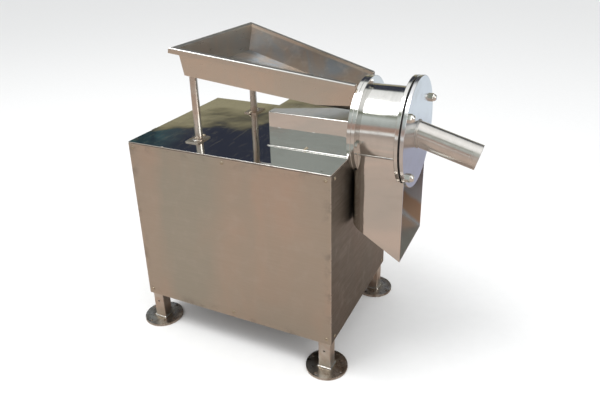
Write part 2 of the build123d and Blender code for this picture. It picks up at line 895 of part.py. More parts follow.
def build_bearing_bolts():
    head_z = bearing_base_z + bearing_base_height
    with BuildPart() as bolts:
        with BuildSketch(Plane.XY.offset(head_z)):
            with Locations(*bearing_bolt_places()):
                RegularPolygon(bearing_bolt_flats / 2 / cos(radians(30)), 6)
        extrude(amount=bearing_bolt_head)
        with BuildSketch(Plane.XY.offset(head_z)):
            with Locations(*bearing_bolt_places()):
                Circle(bearing_bolt_radius)
        extrude(amount=cabinet_top_z - head_z)
    save(bolts, "bearing_bolts")


def build_bearing_cover():
    end_x = rear_plate_x - cover_end_gap
    length = end_x - cover_start_x
    middle = (cover_start_x + end_x) / 2
    flange_y = cover_half_width + cover_flange / 2 - cover_flange_overlap
    with BuildPart() as cover:
        with BuildSketch(Plane.XY.offset(cabinet_top_z)):
            with Locations((middle, 0)):
                Rectangle(length, 2 * cover_half_width)
        extrude(amount=cover_height)
        fillet(cover.edges().group_by(Axis.Z)[-1].filter_by(Axis.X), cover_sheet)
        fillet(cover.edges().filter_by(Axis.Z).group_by(Axis.X)[0], cover_sheet)
        with BuildSketch(Plane.XY.offset(cabinet_top_z)):
            with Locations((middle, 0)):
                Rectangle(length - 2 * cover_sheet, 2 * (cover_half_width - cover_sheet))
        extrude(amount=cover_height - cover_sheet, mode=Mode.SUBTRACT)
        with BuildSketch(Plane.XY.offset(cabinet_top_z)):
            with Locations((middle, -flange_y), (middle, flange_y)):
                Rectangle(length, cover_flange + 2 * cover_flange_overlap)
        extrude(amount=cover_sheet)
        flange_edges = cover.edges().filter_by(Axis.X).filter_by_position(
            Axis.Z, cabinet_top_z + cover_sheet / 2, cabinet_top_z + 2 * cover_sheet,
        ).sort_by(Axis.Y)
        fillet([flange_edges[0], flange_edges[-1]], cover_flange_round)
        with BuildSketch(Plane.XY.offset(cabinet_top_z)):
            with Locations(cover_screw_place(-1), cover_screw_place(1)):
                Circle(screw_radius + screw_clearance)
        extrude(amount=cover_sheet, mode=Mode.SUBTRACT)
        hole = shaft_radius + cover_shaft_gap
        disc_between(end_x - 2 * cover_sheet, 3 * cover_sheet, hole, mode=Mode.SUBTRACT)
    save(cover, "bearing_cover")


def build_cover_screws():
    face = Plane.XY.offset(cabinet_top_z + cover_sheet)
    size = (cover_screw_head_radius, cover_screw_head, screw_radius)
    with BuildPart() as screws:
        places = [cover_screw_place(-1), cover_screw_place(1)]
        pan_head_screws(face, places, cover_sheet + top_sheet, *size)
    save(screws, "cover_screws")


def motor_foot_places():
    span = motor_foot_span_x / 2
    return [
        (motor_foot_centre_x + x, y)
        for x in (-span, span)
        for y in (-motor_foot_half_y, motor_foot_half_y)
    ]


def build_motor_rails():
    low = panel_bottom_z + tube_size
    with BuildPart() as rails:
        for x in (-motor_foot_span_x / 2, motor_foot_span_x / 2):
            with BuildSketch(Plane.XY.offset(low)):
                with Locations((motor_foot_centre_x + x, 0)):
                    Rectangle(motor_rail_width, 2 * leg_y)
                with Locations(*motor_foot_places()):
                    Circle(motor_bolt_radius + screw_clearance, mode=Mode.SUBTRACT)
            extrude(amount=motor_rail_height)
    save(rails, "motor_rails")


def build_motor():
    base = motor_axis_z - motor_axis_height
    shield_x = motor_front_x - motor_shield_length
    with BuildPart() as motor:
        with BuildSketch(across(motor_back_x, 0, motor_axis_z)):
            Circle(motor_body_radius)
            with PolarLocations(motor_body_radius + motor_fin / 2 - motor_fin_root, motor_fin_count):
                Rectangle(motor_fin + 2 * motor_fin_root, motor_fin_width)
        extrude(amount=shield_x - motor_back_x)
        with BuildSketch(across(shield_x, 0, motor_axis_z)):
            Circle(motor_body_radius + motor_fin)
        extrude(amount=motor_shield_length, taper=motor_shield_taper)
        with BuildSketch(Plane.XY.offset(base)):
            with Locations(*motor_foot_places()):
                Rectangle(motor_foot_width, motor_foot_width)
        extrude(amount=motor_foot_height)
        with BuildSketch(Plane.XY.offset(base)):
            with Locations(*[(x, y * motor_web_spread) for x, y in motor_foot_places()]):
                Rectangle(motor_foot_width, motor_foot_width / 2)
        extrude(amount=motor_web_height)
        with BuildSketch(Plane.XY.offset(base)):
            with Locations(*motor_foot_places()):
                Circle(motor_bolt_radius + screw_clearance)
        extrude(amount=motor_foot_height, mode=Mode.SUBTRACT)
        with BuildSketch(across(motor_back_x, 0, motor_axis_z)):
            Circle(motor_shaft_radius + running_clearance)
        extrude(amount=motor_front_x - motor_back_x, mode=Mode.SUBTRACT)
    save(motor, "motor_body")


def build_motor_cowl():
    radius = motor_body_radius + motor_fin
    start = motor_back_x - cowl_gap - cowl_length
    with BuildPart() as cowl:
        with BuildSketch(across(start, 0, motor_axis_z)):
            Circle(radius)
        extrude(amount=cowl_length + cowl_gap)
        fillet(cowl.edges().filter_by(GeomType.CIRCLE).sort_by(Axis.X)[0], cowl_round)
        with BuildSketch(across(start + cowl_wall, 0, motor_axis_z)):
            Circle(radius - cowl_wall)
        extrude(amount=cowl_length, mode=Mode.SUBTRACT)
        with BuildSketch(across(start, 0, motor_axis_z)):
            for ring_radius, count in cowl_hole_rings:
                with PolarLocations(ring_radius, count):
                    Circle(cowl_hole_radius)
        extrude(amount=cowl_wall, mode=Mode.SUBTRACT)
    save(cowl, "motor_fan_cowl")


def build_terminal_box():
    top = motor_axis_z + motor_body_radius + motor_fin + terminal_seat_gap
    with BuildPart() as box:
        with BuildSketch(Plane.XY.offset(top)):
            with Locations((motor_foot_centre_x, 0)):
                RectangleRounded(terminal_length, terminal_width, terminal_corner)
        extrude(amount=terminal_height)
        fillet(box.faces().sort_by(Axis.Z)[-1].edges(), terminal_edge)
    save(box, "motor_terminal_box")


def build_motor_shaft():
    end_x = belt_x + pulley_width / 2 + motor_shaft_overrun
    with BuildPart() as shaft:
        with BuildSketch(across(motor_back_x - cowl_length / 2, 0, motor_axis_z)):
            Circle(motor_shaft_radius)
        extrude(amount=end_x - motor_back_x + cowl_length / 2)
        chamfer(shaft.edges().filter_by(GeomType.CIRCLE), shaft_chamfer)
    save(shaft, "motor_shaft")


def build_motor_bolts():
    head_z = motor_axis_z - motor_axis_height + motor_foot_height
    with BuildPart() as bolts:
        with BuildSketch(Plane.XY.offset(head_z)):
            with Locations(*motor_foot_places()):
                RegularPolygon(motor_bolt_flats / 2 / cos(radians(30)), 6)
        extrude(amount=motor_bolt_head)
        with BuildSketch(Plane.XY.offset(head_z)):
            with Locations(*motor_foot_places()):
                Circle(motor_bolt_radius)
        extrude(amount=-(motor_foot_height + motor_rail_height))
    save(bolts, "motor_bolts")


def build_gland():
    with BuildPart() as gland:
        wall = long_wall_plane(1)
        with BuildSketch(wall):
            with Locations((-gland_x, gland_z)):
                RegularPolygon(gland_flats / 2 / cos(radians(30)), 6)
        extrude(amount=gland_hex)
        with BuildSketch(wall.offset(gland_hex)):
            with Locations((-gland_x, gland_z)):
                Circle(gland_radius)
        extrude(amount=gland_dome, taper=gland_dome_taper)
        with BuildSketch(wall):
            with Locations((-gland_x, gland_z)):
                Circle(gland_radius)
        extrude(amount=-gland_thread)
        with BuildSketch(wall.offset(-gland_thread)):
            with Locations((-gland_x, gland_z)):
                Circle(gland_bore)
        extrude(amount=gland_thread + gland_hex + gland_dome, mode=Mode.SUBTRACT)
    save(gland, "cable_gland")


# ---------------------------------------------------------------- chute


def chute_outline(inset, mouth_x):
    """Plan of the chute, square at the mouth and round at its two back corners."""
    half = chute_half_width - inset
    back = chute_back_x + inset
    corner = chute_corner - inset
    turn = corner * (1 - cos(radians(45)))
    with BuildLine() as outline:
        Polyline((back + corner, half), (mouth_x, half), (mouth_x, -half), (back + corner, -half))
        ThreePointArc((back + corner, -half), (back + turn, turn - half), (back, corner - half))
        Line((back, corner - half), (back, half - corner))
        ThreePointArc((back, half - corner), (back + turn, half - turn), (back + corner, half))
    make_face(outline.edges())


def chute_block(inset, mouth_x, floor_lift):
    """Upright block with the chute's plan, cut off along its sloping floor."""
    slope = radians(chute_slope)
    with BuildPart(mode=Mode.PRIVATE) as block:
        with BuildSketch(Plane.XY.offset(chute_lip_z)):
            chute_outline(inset, mouth_x)
        extrude(amount=chute_top_z - chute_lip_z + floor_lift)
        floor = Plane(origin=(chute_mouth_x, 0, chute_lip_z + floor_lift), z_dir=(sin(slope), 0, cos(slope)))
        split(bisect_by=floor, keep=Keep.TOP)
    return block.part


def build_chute():
    floor_lift = chute_sheet / cos(radians(chute_slope))
    outer = chute_block(0, chute_mouth_x, 0)
    inner = chute_block(chute_sheet, chute_mouth_x + chute_sheet, floor_lift)
    seats = [
        (rear_plate_x, drum_radius),
        (front_flange_x, front_flange_radius + chute_seat_gap),
        (drum_end_x, cover_plate_radius + plate_travel_gap),
    ]
    rear_seat = drum_start_x + rear_flange_thickness - rear_plate_x
    with BuildPart() as chute:
        add(outer)
        add(inner, mode=Mode.SUBTRACT)
        disc_between(rear_plate_x, rear_seat, rear_ring_radius + chute_seat_gap, mode=Mode.SUBTRACT)
        for start_x, radius in seats:
            disc_between(start_x, chute_mouth_x - start_x, radius, mode=Mode.SUBTRACT)
    save(chute, "chute")


# ---------------------------------------------------------------- feed tray


def tapered_outline(start, half_at_start, taper, end, mode=Mode.ADD):
    """Plan of the tray, wide at its back end, narrowing to the drum."""
    half_at_end = half_at_start - taper * (end - start)
    near = [(start, -half_at_start), (end, -half_at_end)]
    far = [(end, half_at_end), (start, half_at_start)]
    Polygon(*near, *far, align=None, mode=mode)


def tray_walls(inset, top, floor_lift):
    """Tapering tray body between its rim and its floor, with its sheet thickness taken off."""
    end = tray_length + tray_overrun
    wall_start = rim_width + inset
    wall_half = rim_half_wide - rim_taper * rim_width - rim_width - inset
    floor_start = rim_width + floor_inset + inset
    with BuildPart(mode=Mode.PRIVATE) as walls:
        with BuildSketch(tray_plane.offset(top)):
            tapered_outline(wall_start, wall_half, rim_taper, end)
        with BuildSketch(tray_plane.offset(floor_lift - tray_depth)):
            tapered_outline(floor_start, floor_half_wide - inset, floor_taper, end)
        loft(ruled=True)
        for side in (-1, 1):
            split(bisect_by=facet_plane(side, inset), keep=Keep.TOP)
    return walls.part


def facet_plane(side, inset):
    """Folded facet that turns the lower corner of the tray in towards the drum's round opening."""

    def floor_edge(x, inward, up):
        along = (x - tray_back_x) / slope_cosine
        half = floor_half_wide - floor_taper * (along - rim_width - floor_inset) - inward
        z = tray_rim_z - along * slope_sine - tray_depth / slope_cosine + up
        return Vector(x, side * half, z)

    first = floor_edge(facet_start_x, 0, 0)
    upper = floor_edge(rear_plate_x, -facet_lean * facet_height, facet_height)
    lower = floor_edge(rear_plate_x, facet_width, 0)
    normal = (upper - first).cross(lower - first).normalized()
    if normal.Z < 0:
        normal = normal * -1
    return Plane(origin=first + normal * inset, z_dir=normal)


def build_tray():
    end = tray_length + tray_overrun
    wall_half = rim_half_wide - rim_taper * rim_width - rim_width
    outside = tray_walls(0, 0, 0)
    inside = tray_walls(tray_sheet, 0, tray_sheet)
    with BuildPart() as tray:
        add(outside)
        with BuildSketch(tray_plane):
            tapered_outline(0, rim_half_wide, rim_taper, end)
        extrude(amount=-rim_lip)
        rim_edges = tray.faces().sort_by(Axis(tray_plane.origin, tray_plane.z_dir))[-1].edges()
        fillet(rim_edges.sort_by(Axis.X)[:3], rim_round)
        with BuildSketch(tray_plane.offset(-tray_sheet)):
            tapered_outline(tray_sheet, rim_half_wide - tray_sheet, rim_taper, end + rim_width)
            tapered_outline(rim_width, wall_half, rim_taper, end + 2 * rim_width, Mode.SUBTRACT)
        extrude(amount=-rim_lip, mode=Mode.SUBTRACT)
        add(inside, mode=Mode.SUBTRACT)
        split(bisect_by=Plane(origin=(rear_plate_x, 0, 0), z_dir=(-1, 0, 0)), keep=Keep.TOP)
    save(tray, "hopper_tray")


def build_posts():
    floor = tray_plane.offset(-tray_depth)
    for (name, (x, y)), screw_place in zip(post_places.items(), post_screw_places()):
        plate_y = y + copysign((post_plate_outer - post_plate_inner) / 2, y)
        with BuildPart() as post:
            with BuildSketch(Plane.XY.offset(cabinet_top_z)):
                with Locations((x, y)):
                    Circle(post_radius)
            extrude(amount=tray_rim_z - cabinet_top_z)
            split(bisect_by=floor, keep=Keep.BOTTOM)
            with BuildSketch(Plane.XY.offset(cabinet_top_z)):
                with Locations((x, plate_y)):
                    Rectangle(post_plate_x, post_plate_outer + post_plate_inner)
            extrude(amount=post_plate_thickness)
            with BuildSketch(Plane.XY.offset(cabinet_top_z + post_plate_thickness)):
                with Locations((x, y)):
                    Circle(post_radius - post_wall)
            extrude(amount=tray_rim_z - cabinet_top_z, mode=Mode.SUBTRACT)
            with BuildSketch(Plane.XY.offset(cabinet_top_z)):
                with Locations(screw_place):
                    Circle(screw_radius + screw_clearance)
            extrude(amount=post_plate_thickness, mode=Mode.SUBTRACT)
        save(post, f"hopper_post_{name}")


def build_post_screws():
    face = Plane.XY.offset(cabinet_top_z + post_plate_thickness)
    reach = post_plate_thickness + top_sheet
    size = (post_screw_head_radius, post_screw_head, screw_radius)
    with BuildPart() as screws:
        pan_head_screws(face, post_screw_places(), reach, *size)
    save(screws, "post_screws")


build_legs()
build_feet()
build_rails()
build_long_panels()
build_short_panels()
build_panel_spacers()
build_panel_screws()
build_top_panel()
build_back_plate()
build_drum()
build_screen()
build_gasket()
build_studs()
build_dome_nuts()
build_flange_bolts()
build_cover_plate()
build_outlet_pipe()
build_shaft_seal()
build_shaft()
build_discs()
build_spacers()
build_rotor_nut()
build_pins()
build_collars()
build_hammers()
build_pulleys()
build_belt()
build_bearing_base()
build_bearing_blocks()
build_bearing_races()
build_bearing_bolts()
build_bearing_cover()
build_cover_screws()
build_motor_rails()
build_motor()
build_motor_cowl()
build_terminal_box()
build_motor_shaft()
build_motor_bolts()
build_gland()
build_chute()
build_tray()
build_posts()
build_post_screws()
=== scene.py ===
import json
import random
from math import cos, pi, radians, sin, tan

import bmesh
import bpy
from mathutils import Matrix, Vector


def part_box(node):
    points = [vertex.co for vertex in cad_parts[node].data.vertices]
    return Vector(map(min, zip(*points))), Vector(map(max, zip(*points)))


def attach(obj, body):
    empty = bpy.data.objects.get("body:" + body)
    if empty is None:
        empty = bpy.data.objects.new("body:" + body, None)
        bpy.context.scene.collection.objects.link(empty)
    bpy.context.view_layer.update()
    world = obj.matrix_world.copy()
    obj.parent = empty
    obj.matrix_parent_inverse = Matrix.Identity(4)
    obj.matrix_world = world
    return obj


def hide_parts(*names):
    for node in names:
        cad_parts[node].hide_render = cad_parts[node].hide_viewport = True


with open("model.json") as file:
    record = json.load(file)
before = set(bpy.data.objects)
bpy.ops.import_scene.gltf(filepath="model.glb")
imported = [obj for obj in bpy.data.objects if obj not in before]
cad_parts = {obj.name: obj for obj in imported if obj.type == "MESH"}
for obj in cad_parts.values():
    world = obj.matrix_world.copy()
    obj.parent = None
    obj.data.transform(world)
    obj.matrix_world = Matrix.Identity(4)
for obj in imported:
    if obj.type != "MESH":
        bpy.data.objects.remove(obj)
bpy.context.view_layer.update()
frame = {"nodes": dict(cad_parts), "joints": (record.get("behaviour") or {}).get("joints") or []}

NODES = frame["nodes"]
NODES_BOX = {name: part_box(name) for name in NODES}
MILL_AXIS_Z = next(joint for joint in frame["joints"] if joint["name"] == "rotor_spin")["pos_m"][2]
CABINET_TOP_Z = NODES_BOX["top_panel"][1].z
CABINET_X = NODES_BOX["top_panel"][1].x
CABINET_Y = NODES_BOX["top_panel"][1].y
FOOT_TOP_Z = NODES_BOX["foot_discs"][1].z

# Sizes and angles that a node's box doesn't tell
MM = 0.001
TRAY_SLOPE = radians(11.0)
CHUTE_SLOPE = radians(32.0)
PIPE_TILT = radians(15.5)
DRUM_RADIUS = 96 * MM
CHUTE_SHEET = 2 * MM
POST_RADIUS = 9 * MM
POST_PLATE = 3 * MM
POST_TO_PLATE_EDGE = 20 * MM


# ------------------------------------------------------------------ node work


class Value:
    """A number running through a node tree; arithmetic on it adds Math nodes."""

    def __init__(self, work, socket):
        self.work = work
        self.socket = socket

    def math(self, operation, *numbers):
        node = self.work.node("ShaderNodeMath", {"operation": operation}, dict(enumerate(numbers)))
        return Value(self.work, node.outputs[0])

    def __add__(self, other):
        return self.math("ADD", self, other)

    def __radd__(self, other):
        return self.math("ADD", other, self)

    def __sub__(self, other):
        return self.math("SUBTRACT", self, other)

    def __rsub__(self, other):
        return self.math("SUBTRACT", other, self)

    def __mul__(self, other):
        return self.math("MULTIPLY", self, other)

    def __rmul__(self, other):
        return self.math("MULTIPLY", other, self)

    def __abs__(self):
        return self.math("ABSOLUTE", self)

    def power(self, exponent):
        return self.math("POWER", self, exponent)

    def least(self, other):
        return self.math("MINIMUM", self, other)

    def most(self, other):
        return self.math("MAXIMUM", self, other)

    def between(self, low, high):
        """0 below low, 1 above high, smooth in between."""
        node = self.work.node(
            "ShaderNodeMapRange",
            {"interpolation_type": "SMOOTHSTEP"},
            {"Value": self, "From Min": low, "From Max": high},
        )
        return Value(self.work, node.outputs[0])


class NodeWork:
    """A node tree and the few ways in which its nodes are made."""

    def __init__(self, tree):
        self.tree = tree
        tree.nodes.clear()

    def node(self, kind, settings=None, values=None):
        node = self.tree.nodes.new(kind)
        for key, setting in (settings or {}).items():
            if key == "stops":
                self.set_stops(node.color_ramp, setting)
            else:
                setattr(node, key, setting)
        for key, value in (values or {}).items():
            socket = node.inputs[key]
            if isinstance(value, Value):
                value = value.socket
            if isinstance(value, bpy.types.NodeSocket):
                self.tree.links.new(value, socket)
            else:
                socket.default_value = value
        return node

    @staticmethod
    def set_stops(ramp, stops):
        while len(ramp.elements) < len(stops):
            ramp.elements.new(1.0)
        for element, (place, colour) in zip(ramp.elements, stops):
            element.position = place
            element.color = (*colour, 1.0)

    def mix(self, factor, first, second):
        """Colour between first and second."""
        ends = [end if isinstance(end, bpy.types.NodeSocket) else (*end, 1.0) for end in (first, second)]
        node = self.node("ShaderNodeMix", {"data_type": "RGBA"}, {0: factor, 6: ends[0], 7: ends[1]})
        return node.outputs[2]

    def stretched(self, place, factors):
        node = self.node("ShaderNodeVectorMath", {"operation": "MULTIPLY"}, {0: place, 1: factors})
        return node.outputs[0]

    def parts(self, place):
        node = self.node("ShaderNodeSeparateXYZ", None, {0: place})
        return [Value(self, socket) for socket in node.outputs]

    def noise(self, place, scale, detail=2.0, rough=0.5, twist=0.0):
        values = {"Vector": place, "Scale": scale, "Detail": detail, "Roughness": rough, "Distortion": twist}
        return Value(self, self.node("ShaderNodeTexNoise", None, values).outputs["Fac"])

    def cells(self, place, scale):
        node = self.node("ShaderNodeTexVoronoi", None, {"Vector": place, "Scale": scale})
        return Value(self, node.outputs["Distance"])

    def ramp(self, value, stops):
        return self.node("ShaderNodeValToRGB", {"stops": stops}, {0: value}).outputs[0]


class Finish(NodeWork):
    """One material on a Principled shader, worked out from places on the object."""

    def __init__(self, name, **constant):
        self.material = bpy.data.materials.new(name)
        self.material.use_nodes = True
        super().__init__(self.material.node_tree)
        self.shader = self.node("ShaderNodeBsdfPrincipled")
        for socket, value in constant.items():
            self.shader.inputs[socket.replace("_", " ").title()].default_value = value
        output = self.node("ShaderNodeOutputMaterial")
        self.tree.links.new(self.shader.outputs[0], output.inputs[0])
        self.place = self.node("ShaderNodeTexCoord").outputs["Object"]

    def feed(self, socket, value):
        if isinstance(value, Value):
            value = value.socket
        self.tree.links.new(value, self.shader.inputs[socket])

    def bump(self, *layers):
        """Layers of (height value, height in metres), each over the one before."""
        normal = None
        for height, metres in layers:
            values = {"Height": height, "Distance": metres, "Strength": 1.0}
            if normal is not None:
                values["Normal"] = normal
            normal = self.node("ShaderNodeBump", None, values).outputs[0]
        self.feed("Normal", normal)

    def scratches(self, size, turn, amount):
        """Fine straight marks, all roughly one way."""
        thin = 40 * size
        values = {"Vector": self.place, "Rotation": turn, "Scale": (thin, size, thin)}
        turned = self.node("ShaderNodeMapping", None, values).outputs[0]
        return self.noise(turned, 1.0, 1.0, 0.4).between(0.72 - amount, 0.76 - amount)

    def edge_gap(self, low, high, thin):
        """Distance in metres to the nearest outer edge of a flat piece; thin is its thin direction."""
        gap = None
        for direction, value in enumerate(self.parts(self.place)):
            if direction != thin:
                nearest = (value - low[direction]).least(high[direction] - value)
                gap = nearest if gap is None else gap.least(nearest)
        return gap


# ------------------------------------------------------------------ steel finishes

WARM_STEEL = (0.58, 0.485, 0.41)
COOL_STEEL = (0.47, 0.475, 0.42)
PALE_STEEL = (0.68, 0.66, 0.62)
MIRROR_STEEL = (0.74, 0.735, 0.715)
PAINTED_SHADE_BLUE_STEEL = (0.34, 0.385, 0.43)
STRAW_HEAT = (0.62, 0.50, 0.33)
DARK_SOIL = (0.10, 0.09, 0.08)
RUST = (0.16, 0.07, 0.03)
MEAL_DUST = (0.50, 0.48, 0.44)
# Places along x, in metres, where the cool strip of painted reflection fades in, and where it fades out
# again
REFLECTION_STRIP_LEFT = (-0.21, -0.15)
REFLECTION_STRIP_RIGHT = (-0.07, 0.02)


def satin_panel(name, box, thin, painted_shade=1.0):
    """Cabinet sheet: brushed sideways, wavy, marked by handling, bright along its cut edges; its soft warm
    and cool patches are a painted blurred reflection.

    A strip up the middle is cooler than the rest, fading from one side to the other: a painted reflection
    too. Its shade factor darkens the whole sheet: painted shade.
    """
    finish = Finish(name, metallic=1.0)
    warm = tuple(painted_shade * part for part in WARM_STEEL)
    cool = tuple(painted_shade * part for part in COOL_STEEL)
    clouds = finish.noise(finish.stretched(finish.place, (1.0, 1.0, 0.55)), 7.0, 3.0, 0.55, 0.6)
    hands = finish.noise(finish.place, 26.0, 4.0, 0.65, 0.3)
    brush = finish.noise(finish.stretched(finish.place, (14.0, 14.0, 420.0)), 1.0, 3.0, 0.7)
    marks = finish.scratches(9.0, (0.2, 0.5, 0.1), 0.0)
    edge = finish.edge_gap(*box, thin)
    worn = (1.0 - edge.between(0.4 * MM, 1.8 * MM)) * hands.between(0.25, 0.6)
    soiled = (1.0 - edge.between(0.0, 30 * MM)) * hands.between(0.48, 0.7)
    # Painted blurred reflection: soft patches between warm and cool steel, and a cool strip up the middle
    x = finish.parts(finish.place)[0] + (clouds - 0.5) * 0.05
    reflection_strip = x.between(*REFLECTION_STRIP_LEFT) * (1.0 - x.between(*REFLECTION_STRIP_RIGHT))
    colour = finish.mix((clouds.between(0.3, 0.7) * 0.6 + reflection_strip * 0.7).least(1.0), warm, cool)
    colour = finish.mix(hands.between(0.45, 0.9) * 0.3, colour, PALE_STEEL)
    colour = finish.mix(brush.between(0.35, 0.75) * 0.14, colour, PALE_STEEL)
    colour = finish.mix(soiled * 0.35, colour, DARK_SOIL)
    colour = finish.mix(worn * 0.5, colour, PALE_STEEL)
    finish.feed("Base Color", colour)
    finish.feed("Roughness", 0.27 + hands * 0.16 + brush * 0.06 - marks * 0.05 - worn * 0.12)
    dents = finish.noise(finish.place, 3.6, 1.0, 0.4)
    ripples = finish.noise(finish.place, 14.0, 1.0, 0.4)
    finish.bump((dents, 0.006), (ripples, 0.0007), (brush, 0.00006), (marks, 0.00002))
    return finish.material


def satin_tube(name, rough=0.26):
    """Square and round tube, feet and posts: drawn lengthwise and rubbed."""
    finish = Finish(name, metallic=1.0)
    clouds = finish.noise(finish.place, 18.0, 3.0, 0.6, 0.4)
    hands = finish.noise(finish.place, 60.0, 3.0, 0.6)
    draw = finish.noise(finish.stretched(finish.place, (600.0, 600.0, 12.0)), 1.0, 2.0, 0.6)
    marks = finish.scratches(16.0, (0.1, 0.9, 0.3), 0.0)
    colour = finish.mix(clouds.between(0.35, 0.65), WARM_STEEL, PALE_STEEL)
    colour = finish.mix(hands.between(0.6, 0.85) * 0.5, colour, COOL_STEEL)
    colour = finish.mix(draw.between(0.4, 0.8) * 0.2, colour, PALE_STEEL)
    finish.feed("Base Color", colour)
    finish.feed("Roughness", rough + hands * 0.14 + draw * 0.05 - marks * 0.06)
    finish.bump((clouds, 0.0004), (draw, 0.00004), (marks, 0.00003))
    return finish.material


def foot_steel(name):
    """Cut discs, polished by the floor wax on top, with a heat tint where the legs are welded."""
    finish = Finish(name, metallic=1.0)
    x, y, _ = finish.parts(finish.place)
    leg_x = (NODES_BOX["leg_front_right"][0].x + NODES_BOX["leg_front_right"][1].x) / 2
    leg_y = (NODES_BOX["leg_back_right"][0].y + NODES_BOX["leg_back_right"][1].y) / 2
    from_leg = ((abs(x) - leg_x).power(2.0) + (abs(y) - leg_y).power(2.0)).power(0.5)
    clouds = finish.noise(finish.place, 30.0, 3.0, 0.6, 0.5)
    hands = finish.noise(finish.place, 90.0, 3.0, 0.6)
    turned = finish.noise(finish.stretched(finish.place, (700.0, 60.0, 60.0)), 1.0, 2.0, 0.5)
    heat = (1.0 - from_leg.between(18 * MM, 32 * MM)) * clouds.between(0.3, 0.6)
    colour = finish.mix(clouds.between(0.35, 0.65), (0.36, 0.31, 0.26), PALE_STEEL)
    colour = finish.mix(heat * 0.6, colour, STRAW_HEAT)
    colour = finish.mix(hands.between(0.62, 0.8) * 0.5, colour, DARK_SOIL)
    finish.feed("Base Color", colour)
    finish.feed("Roughness", 0.16 + hands * 0.22 + turned * 0.05)
    finish.bump((clouds, 0.0006), (turned, 0.00004))
    return finish.material


def tray_steel(name, box):
    """Folded tray: pale and satin outside; inside, darker and bluer as painted shade, and paler in streaks
    where the grain rubs it; a painted highlight brightens the rim.
    """
    finish = Finish(name, metallic=1.0)
    low, high = box
    x, y, z = finish.parts(finish.place)
    normal = finish.parts(finish.node("ShaderNodeNewGeometry").outputs["True Normal"])
    inward = (y * normal[1]).between(0.0, -4 * MM)
    upward = normal[2].between(0.2, 0.7)
    slope_drop = (x - low.x) * tan(TRAY_SLOPE)
    below_rim = (high.z - slope_drop - z).between(4 * MM, 9 * MM)
    inside = inward.most(upward) * below_rim
    clouds = finish.noise(finish.place, 9.0, 3.0, 0.6, 0.8)
    hands = finish.noise(finish.place, 34.0, 4.0, 0.65, 0.3)
    brush = finish.noise(finish.stretched(finish.place, (14.0, 60.0, 420.0)), 1.0, 3.0, 0.7)
    rubbed = finish.noise(finish.stretched(finish.place, (16.0, 130.0, 40.0)), 1.0, 3.0, 0.6)
    marks = finish.scratches(11.0, (0.4, 0.2, 0.9), 0.0)
    outer = finish.mix(clouds.between(0.35, 0.65), (0.66, 0.58, 0.50), (0.60, 0.57, 0.51))
    # Painted shade: the inside is darker and bluer than the outside
    inner = finish.mix(clouds.between(0.3, 0.62), PAINTED_SHADE_BLUE_STEEL, (0.43, 0.37, 0.32))
    inner = finish.mix(rubbed.between(0.5, 0.75) * 0.35, inner, PALE_STEEL)
    colour = finish.mix(inside, outer, inner)
    colour = finish.mix(hands.between(0.55, 0.85) * 0.3, colour, PALE_STEEL)
    colour = finish.mix(brush.between(0.4, 0.8) * 0.12, colour, PALE_STEEL)
    # Painted highlight: the top of the rim is brightened towards mirror steel
    painted_rim_highlight = (1.0 - below_rim) * normal[2].between(0.15, 0.5)
    colour = finish.mix(painted_rim_highlight * 0.9, colour, MIRROR_STEEL)
    finish.feed("Base Color", colour)
    finish.feed("Roughness", 0.2 + inside * 0.06 + hands * 0.16 + brush * 0.05 - marks * 0.05)
    dents = finish.noise(finish.place, 5.0, 1.0, 0.4)
    ripples = finish.noise(finish.place, 19.0, 1.0, 0.4)
    finish.bump((dents, 0.004), (ripples, 0.0008), (brush, 0.00005), (marks, 0.00002))
    return finish.material


def mirror_sheet(name, wave=1.6 * MM):
    """Polished sheet that still shows its waves, wipe marks, dust and hairline scratches."""
    finish = Finish(name, metallic=1.0)
    wipes = finish.noise(finish.stretched(finish.place, (9.0, 26.0, 26.0)), 1.0, 3.0, 0.6, 1.2)
    dust = finish.noise(finish.place, 160.0, 3.0, 0.7)
    marks = finish.scratches(10.0, (0.1, 0.2, 0.7), 0.0)
    cross = finish.scratches(13.0, (0.3, 0.1, 2.1), 0.01)
    specks = 1.0 - finish.cells(finish.place, 42.0).between(0.03, 0.07)
    dusty = dust.between(0.6, 0.8)
    colour = finish.mix(wipes.between(0.45, 0.75) * 0.35, MIRROR_STEEL, (0.62, 0.62, 0.60))
    colour = finish.mix(dusty * 0.25, colour, MEAL_DUST)
    colour = finish.mix(specks * 0.5, colour, DARK_SOIL)
    finish.feed("Base Color", colour)
    finish.feed("Roughness", 0.03 + wipes.between(0.45, 0.8) * 0.07 + dusty * 0.06 + marks * 0.05)
    waves = finish.noise(finish.place, 6.0, 1.0, 0.4)
    ripples = finish.noise(finish.place, 21.0, 1.0, 0.5)
    finish.bump((waves, wave), (ripples, wave * 0.12), (marks, 0.00002), (cross, 0.00002))
    return finish.material


